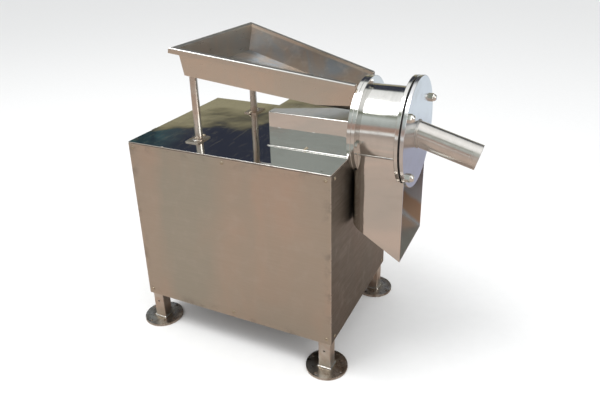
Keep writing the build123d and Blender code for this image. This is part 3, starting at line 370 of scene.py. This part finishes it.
def chute_steel(name, box):
    """Polished outside; inside it is rougher, dulled by the meal, and its colour is a painted reflection:
    lavender on the walls with a brown band low on them, grey on the sloping floor.
    """
    finish = Finish(name, metallic=1.0)
    low, high = box
    x, y, z = finish.parts(finish.place)
    normal = finish.parts(finish.node("ShaderNodeNewGeometry").outputs["True Normal"])
    side_walls = (y * normal[1]).between(0.0, -4 * MM)
    back_wall = (x - low.x - 2 * CHUTE_SHEET).between(0.0, 2 * MM) * normal[0].between(0.3, 0.7)
    sloping_floor = normal[2].between(0.3, 0.6)
    inside = side_walls.most(back_wall).most(sloping_floor)
    wipes = finish.noise(finish.stretched(finish.place, (9.0, 26.0, 26.0)), 1.0, 3.0, 0.6, 1.2)
    dust = finish.noise(finish.place, 160.0, 3.0, 0.7)
    clouds = finish.noise(finish.place, 12.0, 3.0, 0.6, 0.5)
    marks = finish.scratches(10.0, (0.1, 0.2, 0.7), 0.0)
    level = z + (clouds - 0.5) * 30 * MM
    floor_level = low.z + (high.x - x) * tan(CHUTE_SLOPE)
    over_floor = level - floor_level
    painted_reflection_band = over_floor.between(4 * MM, 20 * MM) * (1.0 - over_floor.between(55 * MM, 70 * MM))
    outer = finish.mix(wipes.between(0.45, 0.75) * 0.35, (0.70, 0.68, 0.65), (0.58, 0.55, 0.52))
    # Painted reflection: lavender walls inside, a brown band low on them, grey on the sloping floor
    inner = finish.mix(painted_reflection_band, (0.60, 0.60, 0.66), (0.60, 0.40, 0.30))
    inner = finish.mix(sloping_floor, inner, (0.60, 0.59, 0.55))
    colour = finish.mix(inside, outer, inner)
    colour = finish.mix(dust.between(0.6, 0.8) * 0.25, colour, MEAL_DUST)
    finish.feed("Base Color", colour)
    finish.feed("Roughness", 0.05 + wipes.between(0.45, 0.8) * 0.07 + marks * 0.05 + inside * 0.3)
    waves = finish.noise(finish.place, 6.0, 1.0, 0.4)
    ripples = finish.noise(finish.place, 21.0, 1.0, 0.5)
    finish.bump((waves, 0.003), (ripples, 0.0003), (marks, 0.00002))
    return finish.material


def turned_steel(name, tint=MIRROR_STEEL, rough=0.09):
    """Drum, flanges and plates: turned about the mill axis, then polished."""
    finish = Finish(name, metallic=1.0)
    x, y, z = finish.parts(finish.place)
    radius = (y.power(2.0) + (z - MILL_AXIS_Z).power(2.0)).power(0.5)
    across = finish.node("ShaderNodeCombineXYZ", None, {0: x * 900.0, 1: radius * 900.0, 2: 0.0}).outputs[0]
    turning = finish.noise(across, 1.0, 3.0, 0.6)
    slow = finish.node("ShaderNodeCombineXYZ", None, {0: x * 90.0, 1: radius * 90.0, 2: y * 8.0}).outputs[0]
    lines = finish.noise(slow, 1.0, 2.0, 0.5)
    hands = finish.noise(finish.place, 30.0, 4.0, 0.6, 0.5)
    dust = finish.noise(finish.place, 170.0, 3.0, 0.7)
    colour = finish.mix(hands.between(0.45, 0.8) * 0.4, tint, (0.58, 0.57, 0.54))
    colour = finish.mix(lines.between(0.5, 0.8) * 0.2, colour, (0.50, 0.49, 0.47))
    colour = finish.mix(dust.between(0.62, 0.8) * 0.3, colour, DARK_SOIL)
    finish.feed("Base Color", colour)
    finish.feed("Roughness", rough + hands.between(0.4, 0.8) * 0.09 + turning * 0.05)
    waves = finish.noise(finish.place, 9.0, 1.0, 0.4)
    finish.bump((waves, 0.0012), (lines, 0.00004), (turning, 0.00001))
    return finish.material


def pipe_steel(name):
    """Drawn outlet pipe, polished round, scuffed at the free end."""
    finish = Finish(name, metallic=1.0)
    x = finish.parts(finish.place)[0]
    end_x = NODES_BOX["outlet_pipe"][1].x
    scuffed = x.between(end_x - 30 * MM, end_x)
    hands = finish.noise(finish.place, 40.0, 4.0, 0.6, 0.4)
    rings = finish.noise(finish.stretched(finish.place, (520.0, 10.0, 10.0)), 1.0, 2.0, 0.6)
    marks = finish.scratches(20.0, (0.1, 1.3, 0.2), 0.0)
    colour = finish.mix(hands.between(0.4, 0.8) * 0.45, (0.70, 0.68, 0.65), (0.52, 0.47, 0.43))
    colour = finish.mix(rings.between(0.45, 0.8) * 0.2, colour, (0.50, 0.48, 0.46))
    finish.feed("Base Color", colour)
    finish.feed("Roughness", 0.15 + hands * 0.12 + rings * 0.06 + scuffed * 0.12 - marks * 0.04)
    finish.bump((hands, 0.0002), (rings, 0.00003), (marks, 0.00003))
    return finish.material


def bright_hardware(name, tint=(0.66, 0.65, 0.62), rough=0.16):
    """Screws, nuts, studs and bolts: bright, with dirt held in their corners."""
    finish = Finish(name, metallic=1.0)
    hands = finish.noise(finish.place, 240.0, 3.0, 0.6)
    clouds = finish.noise(finish.place, 70.0, 2.0, 0.5)
    colour = finish.mix(hands.between(0.5, 0.8) * 0.5, tint, (0.36, 0.33, 0.29))
    colour = finish.mix(clouds.between(0.6, 0.8) * 0.2, colour, STRAW_HEAT)
    finish.feed("Base Color", colour)
    finish.feed("Roughness", rough + hands * 0.16)
    finish.bump((hands, 0.00005))
    return finish.material


def weld_steel(name):
    """Brushed weld beads, bright with straw and blue heat colours."""
    finish = Finish(name, metallic=1.0)
    heat = finish.noise(finish.place, 110.0, 3.0, 0.6, 0.4)
    grit = finish.noise(finish.place, 900.0, 2.0, 0.6)
    colour = finish.ramp(heat, [
        (0.30, (0.40, 0.40, 0.40)),
        (0.50, (0.58, 0.575, 0.56)),
        (0.62, (0.46, 0.41, 0.34)),
        (0.74, (0.28, 0.31, 0.38)),
    ])
    finish.feed("Base Color", colour)
    finish.feed("Roughness", 0.24 + grit * 0.2)
    finish.bump((grit, 0.0001), (heat, 0.0003))
    return finish.material


def worked_steel(name, tint, dark, rough):
    """Ground, hardened or machined steel of the inner parts, with fine tool lines and a little rust."""
    finish = Finish(name, metallic=1.0)
    clouds = finish.noise(finish.place, 36.0, 3.0, 0.6)
    lines = finish.noise(finish.stretched(finish.place, (960.0, 120.0, 120.0)), 1.0, 2.0, 0.6)
    rust = finish.noise(finish.place, 120.0, 4.0, 0.7).between(0.64, 0.8)
    colour = finish.mix(clouds.between(0.35, 0.7), tint, dark)
    colour = finish.mix(lines.between(0.4, 0.8) * 0.3, colour, dark)
    colour = finish.mix(rust * 0.5, colour, RUST)
    finish.feed("Base Color", colour)
    finish.feed("Roughness", rough + clouds * 0.12 + rust * 0.25)
    finish.feed("Metallic", 1.0 - rust * 0.6)
    finish.bump((lines, 0.00003), (rust, 0.00004))
    return finish.material


def painted_iron(name, paint, worn, grain):
    """Paint over a casting or pressing: orange peel, dust on top, rubbed through in places."""
    finish = Finish(name, coat_weight=0.15, coat_roughness=0.25)
    peel = finish.noise(finish.place, grain, 3.0, 0.6)
    cast = finish.noise(finish.place, grain * 0.35, 4.0, 0.65)
    bare = finish.noise(finish.place, 45.0, 4.0, 0.7, 0.4).between(0.66, 0.7)
    up = finish.parts(finish.node("ShaderNodeNewGeometry").outputs["Normal"])[2].between(0.5, 1.0)
    colour = finish.mix(cast.between(0.35, 0.7) * 0.35, paint, tuple(0.55 * part for part in paint))
    colour = finish.mix(up * cast.between(0.3, 0.7) * 0.4, colour, (0.42, 0.38, 0.32))
    colour = finish.mix(bare, colour, worn)
    finish.feed("Base Color", colour)
    finish.feed("Roughness", 0.42 + cast * 0.2 + up * 0.1 - bare * 0.12)
    finish.feed("Metallic", bare * 0.9)
    finish.bump((cast, 0.0004), (peel, 0.00008))
    return finish.material


def dark_rubber(name, tint=(0.022, 0.021, 0.020), grain=420.0):
    """Black rubber, finely grained, with meal dust settled on it."""
    finish = Finish(name)
    fine = finish.noise(finish.place, grain, 3.0, 0.6)
    dust = finish.noise(finish.place, 48.0, 3.0, 0.6)
    colour = finish.mix(dust.between(0.45, 0.75) * 0.5, tint, (0.085, 0.075, 0.062))
    finish.feed("Base Color", colour)
    finish.feed("Roughness", 0.62 + fine * 0.2)
    finish.bump((fine, 0.00012))
    return finish.material


def moulded_plastic(name, tint):
    """Moulded black plastic, paler where hands have rubbed it."""
    finish = Finish(name)
    grain = finish.noise(finish.place, 900.0, 2.0, 0.5)
    hands = finish.noise(finish.place, 60.0, 3.0, 0.6)
    rubbed = tuple(2.2 * part for part in tint)
    finish.feed("Base Color", finish.mix(hands.between(0.5, 0.8) * 0.35, tint, rubbed))
    finish.feed("Roughness", 0.42 + hands * 0.18)
    finish.bump((grain, 0.00006))
    return finish.material


# ------------------------------------------------------------------ mesh work


def piece(name, mesh, material, body="frame"):
    """A new piece of the object: it rides on a body and takes the finish it is given."""
    shown = bpy.data.objects.new(name, mesh)
    bpy.context.scene.collection.objects.link(shown)
    mesh.materials.append(material)
    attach(shown, body)
    return shown


def finished_mesh(name, form, smooth=True):
    """A mesh of the form, which is used up."""
    bmesh.ops.recalc_face_normals(form, faces=form.faces)
    mesh = bpy.data.meshes.new(name)
    form.to_mesh(mesh)
    form.free()
    for face in mesh.polygons:
        face.use_smooth = smooth
    return mesh


def lay_bead(form, path, radius, closed, seed, ripple=2.2 * MM):
    """A rippled weld bead along a path of points: rings of corners joined into a tube."""
    dice = random.Random(seed)
    count = len(path)
    corners = 8
    swelling, unevenness = 0.16, 0.08
    rings = []
    travelled = 0.0
    for index, point in enumerate(path):
        before = path[index - 1] if closed or index else point
        after = path[(index + 1) % count] if closed or index < count - 1 else point
        along = (after - before).normalized()
        side = along.orthogonal().normalized()
        other = along.cross(side)
        travelled += (point - before).length
        swell = 1.0 + swelling * abs(sin(pi * travelled / ripple)) + dice.uniform(-unevenness, unevenness)
        ring = []
        for corner in range(corners):
            angle = 2 * pi * corner / corners
            reach = radius * swell * (side * cos(angle) + other * sin(angle))
            ring.append(form.verts.new(point + reach))
        rings.append(ring)
    pairs = list(zip(rings, rings[1:]))
    if closed:
        pairs.append((rings[-1], rings[0]))
    for first, second in pairs:
        shift = min(range(corners), key=lambda turn: (second[turn].co - first[0].co).length)
        for corner in range(corners):
            following = (corner + 1) % corners
            form.faces.new((
                first[corner], first[following],
                second[(following + shift) % corners], second[(corner + shift) % corners],
            ))
    if not closed:
        form.faces.new(rings[0])
        form.faces.new(rings[-1])


def points_between(first, last):
    """Points along a straight run, a weld step apart."""
    count = max(2, round((last - first).length / WELD_STEP))
    return [first.lerp(last, index / count) for index in range(count + 1)]


def square_path(low, high, z, grow):
    """Closed path round a square tube, grown by its weld's reach."""
    left, right = low.x - grow, high.x + grow
    front, back = low.y - grow, high.y + grow
    corners = [Vector((*place, z)) for place in ((left, front), (right, front), (right, back), (left, back))]
    path = []
    for index, corner in enumerate(corners):
        path += points_between(corner, corners[(index + 1) % 4])[:-1]
    return path


def loop_path(centre, across, up, count):
    """Closed path round an ellipse with the half axes across and up."""
    turns = [2 * pi * index / count for index in range(count)]
    return [centre + across * cos(turn) + up * sin(turn) for turn in turns]


def solids_of(node):
    """Boxes of a node's separate solids, as (low corner, high corner)."""
    form = bmesh.new()
    form.from_mesh(NODES[node].data)
    bmesh.ops.remove_doubles(form, verts=form.verts, dist=0.01 * MM)
    unseen = set(form.verts)
    boxes = []
    while unseen:
        group = [unseen.pop()]
        for vertex in group:
            for edge in vertex.link_edges:
                other = edge.other_vert(vertex)
                if other in unseen:
                    unseen.remove(other)
                    group.append(other)
        places = [vertex.co for vertex in group]
        boxes.append((
            Vector(tuple(min(place[k] for place in places) for k in range(3))),
            Vector(tuple(max(place[k] for place in places) for k in range(3))),
        ))
    form.free()
    return sorted(boxes, key=lambda box: tuple(round(value, 4) for value in box[0]))


def pan_head(form, seat, outward, radius, height, turn):
    """Domed screw head with a cross recess, standing on its seat."""
    rings, corners = 12, 56
    slot_half, slot_reach, slot_depth, slot_fade = 0.13 * radius, 0.58 * radius, 0.45 * height, 0.35
    crown_drop, rim_height = 0.55, 0.42 * height
    side = outward.orthogonal().normalized()
    side.rotate(Matrix.Rotation(turn, 3, outward))
    other = outward.cross(side)

    def place(reach, angle):
        across, up = reach * cos(angle), reach * sin(angle)
        share = reach / radius
        rise = height * (1.0 - crown_drop * share ** 3) if share < 1.0 else rim_height
        in_cross = min(abs(across), abs(up)) < slot_half and reach < slot_reach
        rise -= slot_depth * (1.0 - slot_fade * share) if in_cross else 0.0
        return seat + side * across + other * up + outward * rise

    centre = form.verts.new(place(0.0, 0.0))
    before = None
    for ring in range(1, rings + 1):
        reach = radius * ring / rings
        now = [form.verts.new(place(reach, 2 * pi * corner / corners)) for corner in range(corners)]
        for corner in range(corners):
            following = (corner + 1) % corners
            if before is None:
                form.faces.new((centre, now[corner], now[following]))
            else:
                form.faces.new((before[corner], now[corner], now[following], before[following]))
        before = now
    foot = [form.verts.new(vertex.co - outward * rim_height) for vertex in before]
    for corner in range(corners):
        following = (corner + 1) % corners
        form.faces.new((before[corner], foot[corner], foot[following], before[following]))
    form.faces.new(foot)


# ------------------------------------------------------------------ added pieces

WELD_STEP = 1.1 * MM
FOOT_BEAD = 2.6 * MM
PIPE_BEAD = 1.9 * MM
POST_FOOT_BEAD = 1.5 * MM
POST_HEAD_BEAD = 1.4 * MM
SEAM_BEAD = 1.4 * MM
TACK_BEAD = 0.9 * MM
REAR_FLANGE_REACH = 10.5 * MM
FRONT_FLANGE_REACH = 9.5 * MM
LEFT_TACK_FROM_FRONT = 94 * MM
LEFT_TACK_REACH = 9 * MM
FRONT_TACKS = ((0.19, 4 * MM), (0.41, 3 * MM), (0.56, 5 * MM), (0.74, 3 * MM), (0.90, 3 * MM))
POST_CORNERS = 60
ALONG = Vector((1, 0, 0))
BACKWARD = Vector((0, 1, 0))
UPWARD = Vector((0, 0, 1))


def make_foot_welds(finish):
    """Fillet weld round the foot of each leg."""
    form = bmesh.new()
    reach = 0.6 * MM
    for seed, leg in enumerate(("front_left", "front_right", "back_left", "back_right")):
        low, high = NODES_BOX["leg_" + leg]
        lay_bead(form, square_path(low, high, FOOT_TOP_Z + reach, reach), FOOT_BEAD, True, seed)
    piece("foot_welds", finished_mesh("foot_welds", form), finish)


def make_pipe_weld(finish):
    """Weld where the tilted outlet pipe meets the cover plate: an upright ellipse."""
    low, high = NODES_BOX["outlet_pipe"]
    radius = (high.y - low.y) / 2
    tall = radius / cos(PIPE_TILT)
    reach = 0.5 * MM
    centre = Vector((low.x + 0.3 * MM, 0.0, high.z - tall))
    count = round(2 * pi * radius / WELD_STEP)
    form = bmesh.new()
    path = loop_path(centre, (radius + reach) * BACKWARD, (tall + reach) * UPWARD, count)
    lay_bead(form, path, PIPE_BEAD, True, 5, 2.8 * MM)
    piece("pipe_weld", finished_mesh("pipe_weld", form), finish, "cover")


def make_post_welds(finish):
    """Welds at the foot of each tray post, and under the sloping tray at its head."""
    form = bmesh.new()
    reach = POST_RADIUS + 0.4 * MM
    for seed, name in enumerate(("hopper_post_near", "hopper_post_far")):
        low, high = NODES_BOX[name]
        centre_x = (low.x + high.x) / 2
        centre_y = low.y + POST_TO_PLATE_EDGE if low.y < 0 else high.y - POST_TO_PLATE_EDGE
        foot_centre = Vector((centre_x, centre_y, CABINET_TOP_Z + POST_PLATE))
        foot = loop_path(foot_centre, reach * ALONG, reach * BACKWARD, POST_CORNERS)
        lay_bead(form, foot, POST_FOOT_BEAD, True, seed + 11)
        head_centre = Vector((centre_x, centre_y, high.z - POST_RADIUS * tan(TRAY_SLOPE) - 0.6 * MM))
        downhill = ALONG - UPWARD * tan(TRAY_SLOPE)
        head = loop_path(head_centre, reach * downhill, reach * BACKWARD, POST_CORNERS)
        lay_bead(form, head, POST_HEAD_BEAD, True, seed + 21)
    piece("post_welds", finished_mesh("post_welds", form), finish)


def make_chute_welds(finish):
    """Seams where the chute's side walls meet the drum, between its two flanges."""
    form = bmesh.new()
    drum_low, drum_high = NODES_BOX["mill_drum"]
    start = drum_low.x + REAR_FLANGE_REACH
    end = drum_high.x - FRONT_FLANGE_REACH
    for side in (-1, 1):
        wall_y = side * (NODES_BOX["chute"][1].y - 0.5 * MM)
        height = MILL_AXIS_Z - (DRUM_RADIUS ** 2 - wall_y ** 2) ** 0.5
        path = points_between(Vector((start, wall_y, height)), Vector((end, wall_y, height)))
        lay_bead(form, path, SEAM_BEAD, False, 31 + side)
    piece("chute_seams", finished_mesh("chute_seams", form), finish)


def make_sheet_tacks(finish):
    """Short tack welds that hold the top sheet down along its front and left edges."""
    low, high = NODES_BOX["top_panel"]
    left_tack = Vector((low.x + 1.0 * MM, low.y + LEFT_TACK_FROM_FRONT, high.z))
    runs = [(left_tack, LEFT_TACK_REACH * BACKWARD)]
    for share, reach in FRONT_TACKS:
        front_tack = Vector((low.x + share * (high.x - low.x), low.y + 0.8 * MM, high.z))
        runs.append((front_tack, reach * ALONG))
    form = bmesh.new()
    for seed, (middle, reach) in enumerate(runs):
        lay_bead(form, points_between(middle - reach, middle + reach), TACK_BEAD, False, 41 + seed)
    piece("sheet_tacks", finished_mesh("sheet_tacks", form), finish)


def make_screws(node, radius, height, finish, upward):
    """Pan heads with cross recesses in place of a node's plain ones, each seated where it was."""
    dice = random.Random(len(node))
    form = bmesh.new()
    for low, high in solids_of(node):
        centre = (low + high) / 2
        if upward:
            outward = UPWARD
        elif abs(centre.x) - CABINET_X > abs(centre.y) - CABINET_Y:
            outward = ALONG if centre.x > 0 else -ALONG
        else:
            outward = BACKWARD if centre.y > 0 else -BACKWARD
        reach = abs((high - low).dot(outward)) / 2
        seat = centre + outward * (reach - height)
        pan_head(form, seat, outward, radius, height, dice.uniform(0, pi / 2))
    heads = piece(node + "_heads", finished_mesh(node + "_heads", form), finish)
    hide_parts(node)


def panel_finishes():
    """One satin finish for each cabinet sheet, by the direction it is thin in and its shade factor; the
    right panel's low factor is painted shade from the chute.
    """
    panels = (
        ("front_panel", 1, 1.0),
        ("back_panel", 1, 1.0),
        ("left_panel", 0, 1.0),
        # Painted shade: the right panel is darkened where the chute shades it
        ("right_panel", 0, 0.3),
    )
    return {name: satin_panel("satin_" + name, NODES_BOX[name], thin, painted_shade) for name, thin, painted_shade in panels}


def outer_finishes():
    """Finishes of what shows from outside, each with the nodes that it goes on."""
    return [
        (satin_tube("satin_tube"), """leg_front_left leg_front_right leg_back_left leg_back_right
            upper_rails lower_rails motor_rails"""),
        (satin_tube("post_steel", 0.2), "hopper_post_near hopper_post_far"),
        (foot_steel("foot_steel"), "foot_discs"),
        (tray_steel("tray_steel", NODES_BOX["hopper_tray"]), "hopper_tray"),
        (mirror_sheet("top_mirror"), "top_panel"),
        (mirror_sheet("cover_mirror", 0.8 * MM), "bearing_cover"),
        (chute_steel("chute_steel", NODES_BOX["chute"]), "chute"),
        (turned_steel("drum_steel"), "mill_drum back_plate"),
        # The cover plate's bluish tint is a painted reflection
        (turned_steel("plate_steel_blue_reflection", (0.72, 0.73, 0.75), 0.14), "cover_plate"),
        (pipe_steel("outlet_steel"), "outlet_pipe"),
        (bright_hardware("nut_steel", (0.80, 0.79, 0.75), 0.06),
            "dome_nut_1 dome_nut_2 dome_nut_3 dome_nut_4"),
        (bright_hardware("screw_steel"), """panel_screws cover_screws post_screws cover_studs flange_bolts
            bearing_bolts motor_bolts"""),
        (dark_rubber("gasket_rubber"), "drum_gasket shaft_seal"),
        (moulded_plastic("spacer_plastic", (0.03, 0.03, 0.03)), "panel_spacers"),
        (moulded_plastic("gland_plastic", (0.02, 0.02, 0.022)), "cable_gland"),
    ]


def inner_finishes():
    """Finishes of the mill's works and its drive, each with the nodes that it goes on."""
    return [
        (dark_rubber("belt_rubber", (0.03, 0.028, 0.026), 260.0), "drive_belt"),
        (painted_iron("bearing_iron", (0.05, 0.11, 0.10), (0.40, 0.38, 0.35), 420.0),
            "bearing_block_left bearing_block_right"),
        (painted_iron("pad_paint", (0.12, 0.12, 0.125), (0.42, 0.40, 0.38), 300.0), "bearing_base"),
        (painted_iron("motor_paint", (0.045, 0.075, 0.115), (0.42, 0.40, 0.37), 360.0),
            "motor_body motor_fan_cowl motor_terminal_box"),
        (worked_steel("ground_steel", (0.60, 0.59, 0.57), (0.36, 0.35, 0.33), 0.2),
            "bearing_races rotor_shaft motor_shaft hammer_pins rotor_nut"),
        (worked_steel("hammer_steel", (0.40, 0.38, 0.35), (0.20, 0.18, 0.165), 0.32),
            "hammer_1 hammer_2 hammer_3 hammer_4 rotor_discs rotor_spacers pin_collars"),
        (worked_steel("screen_steel", (0.55, 0.54, 0.51), (0.30, 0.29, 0.27), 0.28), "screen"),
        (worked_steel("pulley_iron", (0.24, 0.235, 0.225), (0.12, 0.115, 0.11), 0.38),
            "motor_pulley rotor_pulley"),
    ]


def dress_nodes():
    """A finish for every node."""
    dress = panel_finishes()
    for material, names in outer_finishes() + inner_finishes():
        dress.update({name: material for name in names.split()})
    for name, shown in NODES.items():
        shown.data.materials.clear()
        shown.data.materials.append(dress[name])


# ------------------------------------------------------------------ floor, light and camera


def make_floor():
    """Pale studio floor, far wider than the mill; what shines sees on it is a painted reflection: warm brown
    near the mill, dark lavender-grey and then pale blue-grey further behind.
    """
    form = bmesh.new()
    steps = 24
    reach = 40.0
    marks = [reach * (2 * index / steps - 1) for index in range(steps + 1)]
    grid = [[form.verts.new((x, y, 0.0)) for y in marks] for x in marks]
    for i in range(steps):
        for j in range(steps):
            form.faces.new((grid[i][j], grid[i + 1][j], grid[i + 1][j + 1], grid[i][j + 1]))
    mesh = finished_mesh("studio_floor", form, smooth=False)
    finish = Finish("studio_floor")
    grain = finish.noise(finish.place, 40.0, 3.0, 0.6)
    stains = finish.noise(finish.place, 2.3, 3.0, 0.6, 0.6)
    pale = finish.mix(grain, (0.82, 0.82, 0.815), (0.86, 0.86, 0.855))
    warm = finish.mix(stains.between(0.35, 0.65), (0.46, 0.355, 0.295), (0.37, 0.31, 0.265))
    y = finish.parts(finish.place)[1]
    reflected_behind = finish.mix(y.between(1.2, 1.9), (0.30, 0.30, 0.37), (0.66, 0.72, 0.77))
    warm = finish.mix(y.between(0.55, 0.8), warm, reflected_behind)
    shining = Value(finish, finish.node("ShaderNodeLightPath").outputs["Is Glossy Ray"])
    # Painted reflection: glossy rays see the warm and blue-grey floor, the camera the pale one
    finish.feed("Base Color", finish.mix(shining, pale, warm))
    finish.feed("Roughness", 0.8 + grain * 0.1)
    mesh.materials.append(finish.material)
    floor = bpy.data.objects.new("studio_floor", mesh)
    bpy.context.scene.collection.objects.link(floor)


# What shines sees behind the mill and in front of it, from level up to straight overhead
REAR_VIEW = [
    (0.00, (0.50, 0.47, 0.43)),
    (0.22, (0.40, 0.37, 0.25)),
    (0.29, (0.34, 0.31, 0.20)),
    (0.33, (0.0, 0.0, 0.0)),
    (0.66, (0.0, 0.0, 0.0)),
    (0.70, (0.20, 0.22, 0.21)),
    (0.76, (0.95, 0.96, 0.95)),
    (1.00, (1.15, 1.15, 1.15)),
]
FRONT_VIEW = [
    (0.00, (1.0, 1.0, 0.98)),
    (0.07, (0.95, 0.93, 0.90)),
    (0.11, (0.40, 0.27, 0.21)),
    (0.30, (0.44, 0.30, 0.25)),
    (0.34, (0.40, 0.43, 0.41)),
    (0.48, (0.52, 0.56, 0.54)),
    (0.62, (0.62, 0.66, 0.64)),
    (0.70, (0.17, 0.19, 0.13)),
    (0.76, (0.26, 0.28, 0.22)),
    (0.79, (0.98, 0.99, 0.99)),
    (1.00, (1.25, 1.25, 1.25)),
]


def make_surroundings():
    """Plain pale light all round; what shines sees a workshop's floor, dark trees and bright sky."""
    world = bpy.data.worlds.new("studio")
    world.use_nodes = True
    bpy.context.scene.world = world
    work = NodeWork(world.node_tree)
    way = work.node("ShaderNodeTexCoord").outputs["Generated"]
    x, y, z = work.parts(way)
    big = work.noise(way, 2.6, 3.0, 0.55, 0.5)
    small = work.noise(way, 9.0, 4.0, 0.6, 0.3)
    height = z + (big - 0.5) * 0.16 + (small - 0.5) * 0.03
    leaves = work.mix(small.between(0.42, 0.6), (0.02, 0.035, 0.045), (0.05, 0.13, 0.14))
    bark = work.mix(small.between(0.42, 0.62), (0.035, 0.04, 0.06), (0.055, 0.06, 0.075))
    trees = work.mix((x + (big - 0.5) * 0.25).between(-0.66, -0.58), leaves, bark)
    rear = work.ramp(height, REAR_VIEW)
    wooded = height.between(0.305, 0.325) * (1.0 - height.between(0.66, 0.72))
    rear = work.mix(wooded, rear, trees)
    front = work.ramp(height, FRONT_VIEW)
    reflected = work.mix((y + (small - 0.5) * 0.3).between(-0.15, 0.25), front, rear)
    plain = (0.93, 0.94, 0.95)
    shining = Value(work, work.node("ShaderNodeLightPath").outputs["Is Glossy Ray"])
    colour = work.mix(shining, plain, reflected)
    background = work.node("ShaderNodeBackground", None, {"Color": colour, "Strength": 1.0})
    output = work.node("ShaderNodeOutputWorld")
    work.tree.links.new(background.outputs[0], output.inputs[0])


def make_lamp(name, place, aim, size, watts):
    """A soft white panel lamp at a place, turned to what it aims at."""
    light = bpy.data.lights.new(name, "AREA")
    light.shape = "RECTANGLE"
    light.size, light.size_y = size
    light.energy = watts
    lamp = bpy.data.objects.new(name, light)
    lamp.location = place
    lamp.rotation_euler = (Vector(aim) - Vector(place)).to_track_quat("-Z", "Y").to_euler()
    bpy.context.scene.collection.objects.link(lamp)


def make_camera():
    """Standing in front, to the right and above, with a slight roll of the horizon."""
    place = Vector((0.66217, -1.1642, 0.98208))
    turn, dip, roll = radians(26.05), radians(23.26), radians(-1.46)
    forward = Vector((-sin(turn) * cos(dip), cos(turn) * cos(dip), -sin(dip)))
    level = Vector((cos(turn), sin(turn), 0.0))
    upright = level.cross(forward)
    right = level * cos(roll) + upright * sin(roll)
    top = upright * cos(roll) - level * sin(roll)
    lens = bpy.data.cameras.new("view")
    lens.sensor_width = 36.0
    lens.lens = 34.39
    lens.shift_x, lens.shift_y = 0.0023, -0.0556
    camera = bpy.data.objects.new("view", lens)
    camera.matrix_world = Matrix((
        (right.x, top.x, -forward.x, place.x),
        (right.y, top.y, -forward.y, place.y),
        (right.z, top.z, -forward.z, place.z),
        (0.0, 0.0, 0.0, 1.0),
    ))
    bpy.context.scene.collection.objects.link(camera)
    bpy.context.scene.camera = camera


dress_nodes()
weld = weld_steel("weld_steel")
bright = bright_hardware("head_steel", (0.50, 0.44, 0.34), 0.24)
make_foot_welds(weld)
make_pipe_weld(weld)
make_post_welds(weld)
make_chute_welds(weld)
make_sheet_tacks(weld)
make_screws("panel_screws", 4.0 * MM, 2.2 * MM, bright, upward=False)
make_screws("cover_screws", 3.5 * MM, 2.5 * MM, bright, upward=True)
make_screws("post_screws", 4.5 * MM, 3.0 * MM, bright, upward=True)
make_floor()
make_surroundings()
make_lamp("key_light", (-1.0, -1.0, 3.7), (0.0, 0.0, 0.4), (1.8, 1.8), 72)
make_lamp("right_light", (2.6, -0.6, 1.8), (0.1, 0.0, 0.4), (1.2, 1.6), 22)
make_camera()
bpy.context.scene.view_settings.view_transform = "Standard"
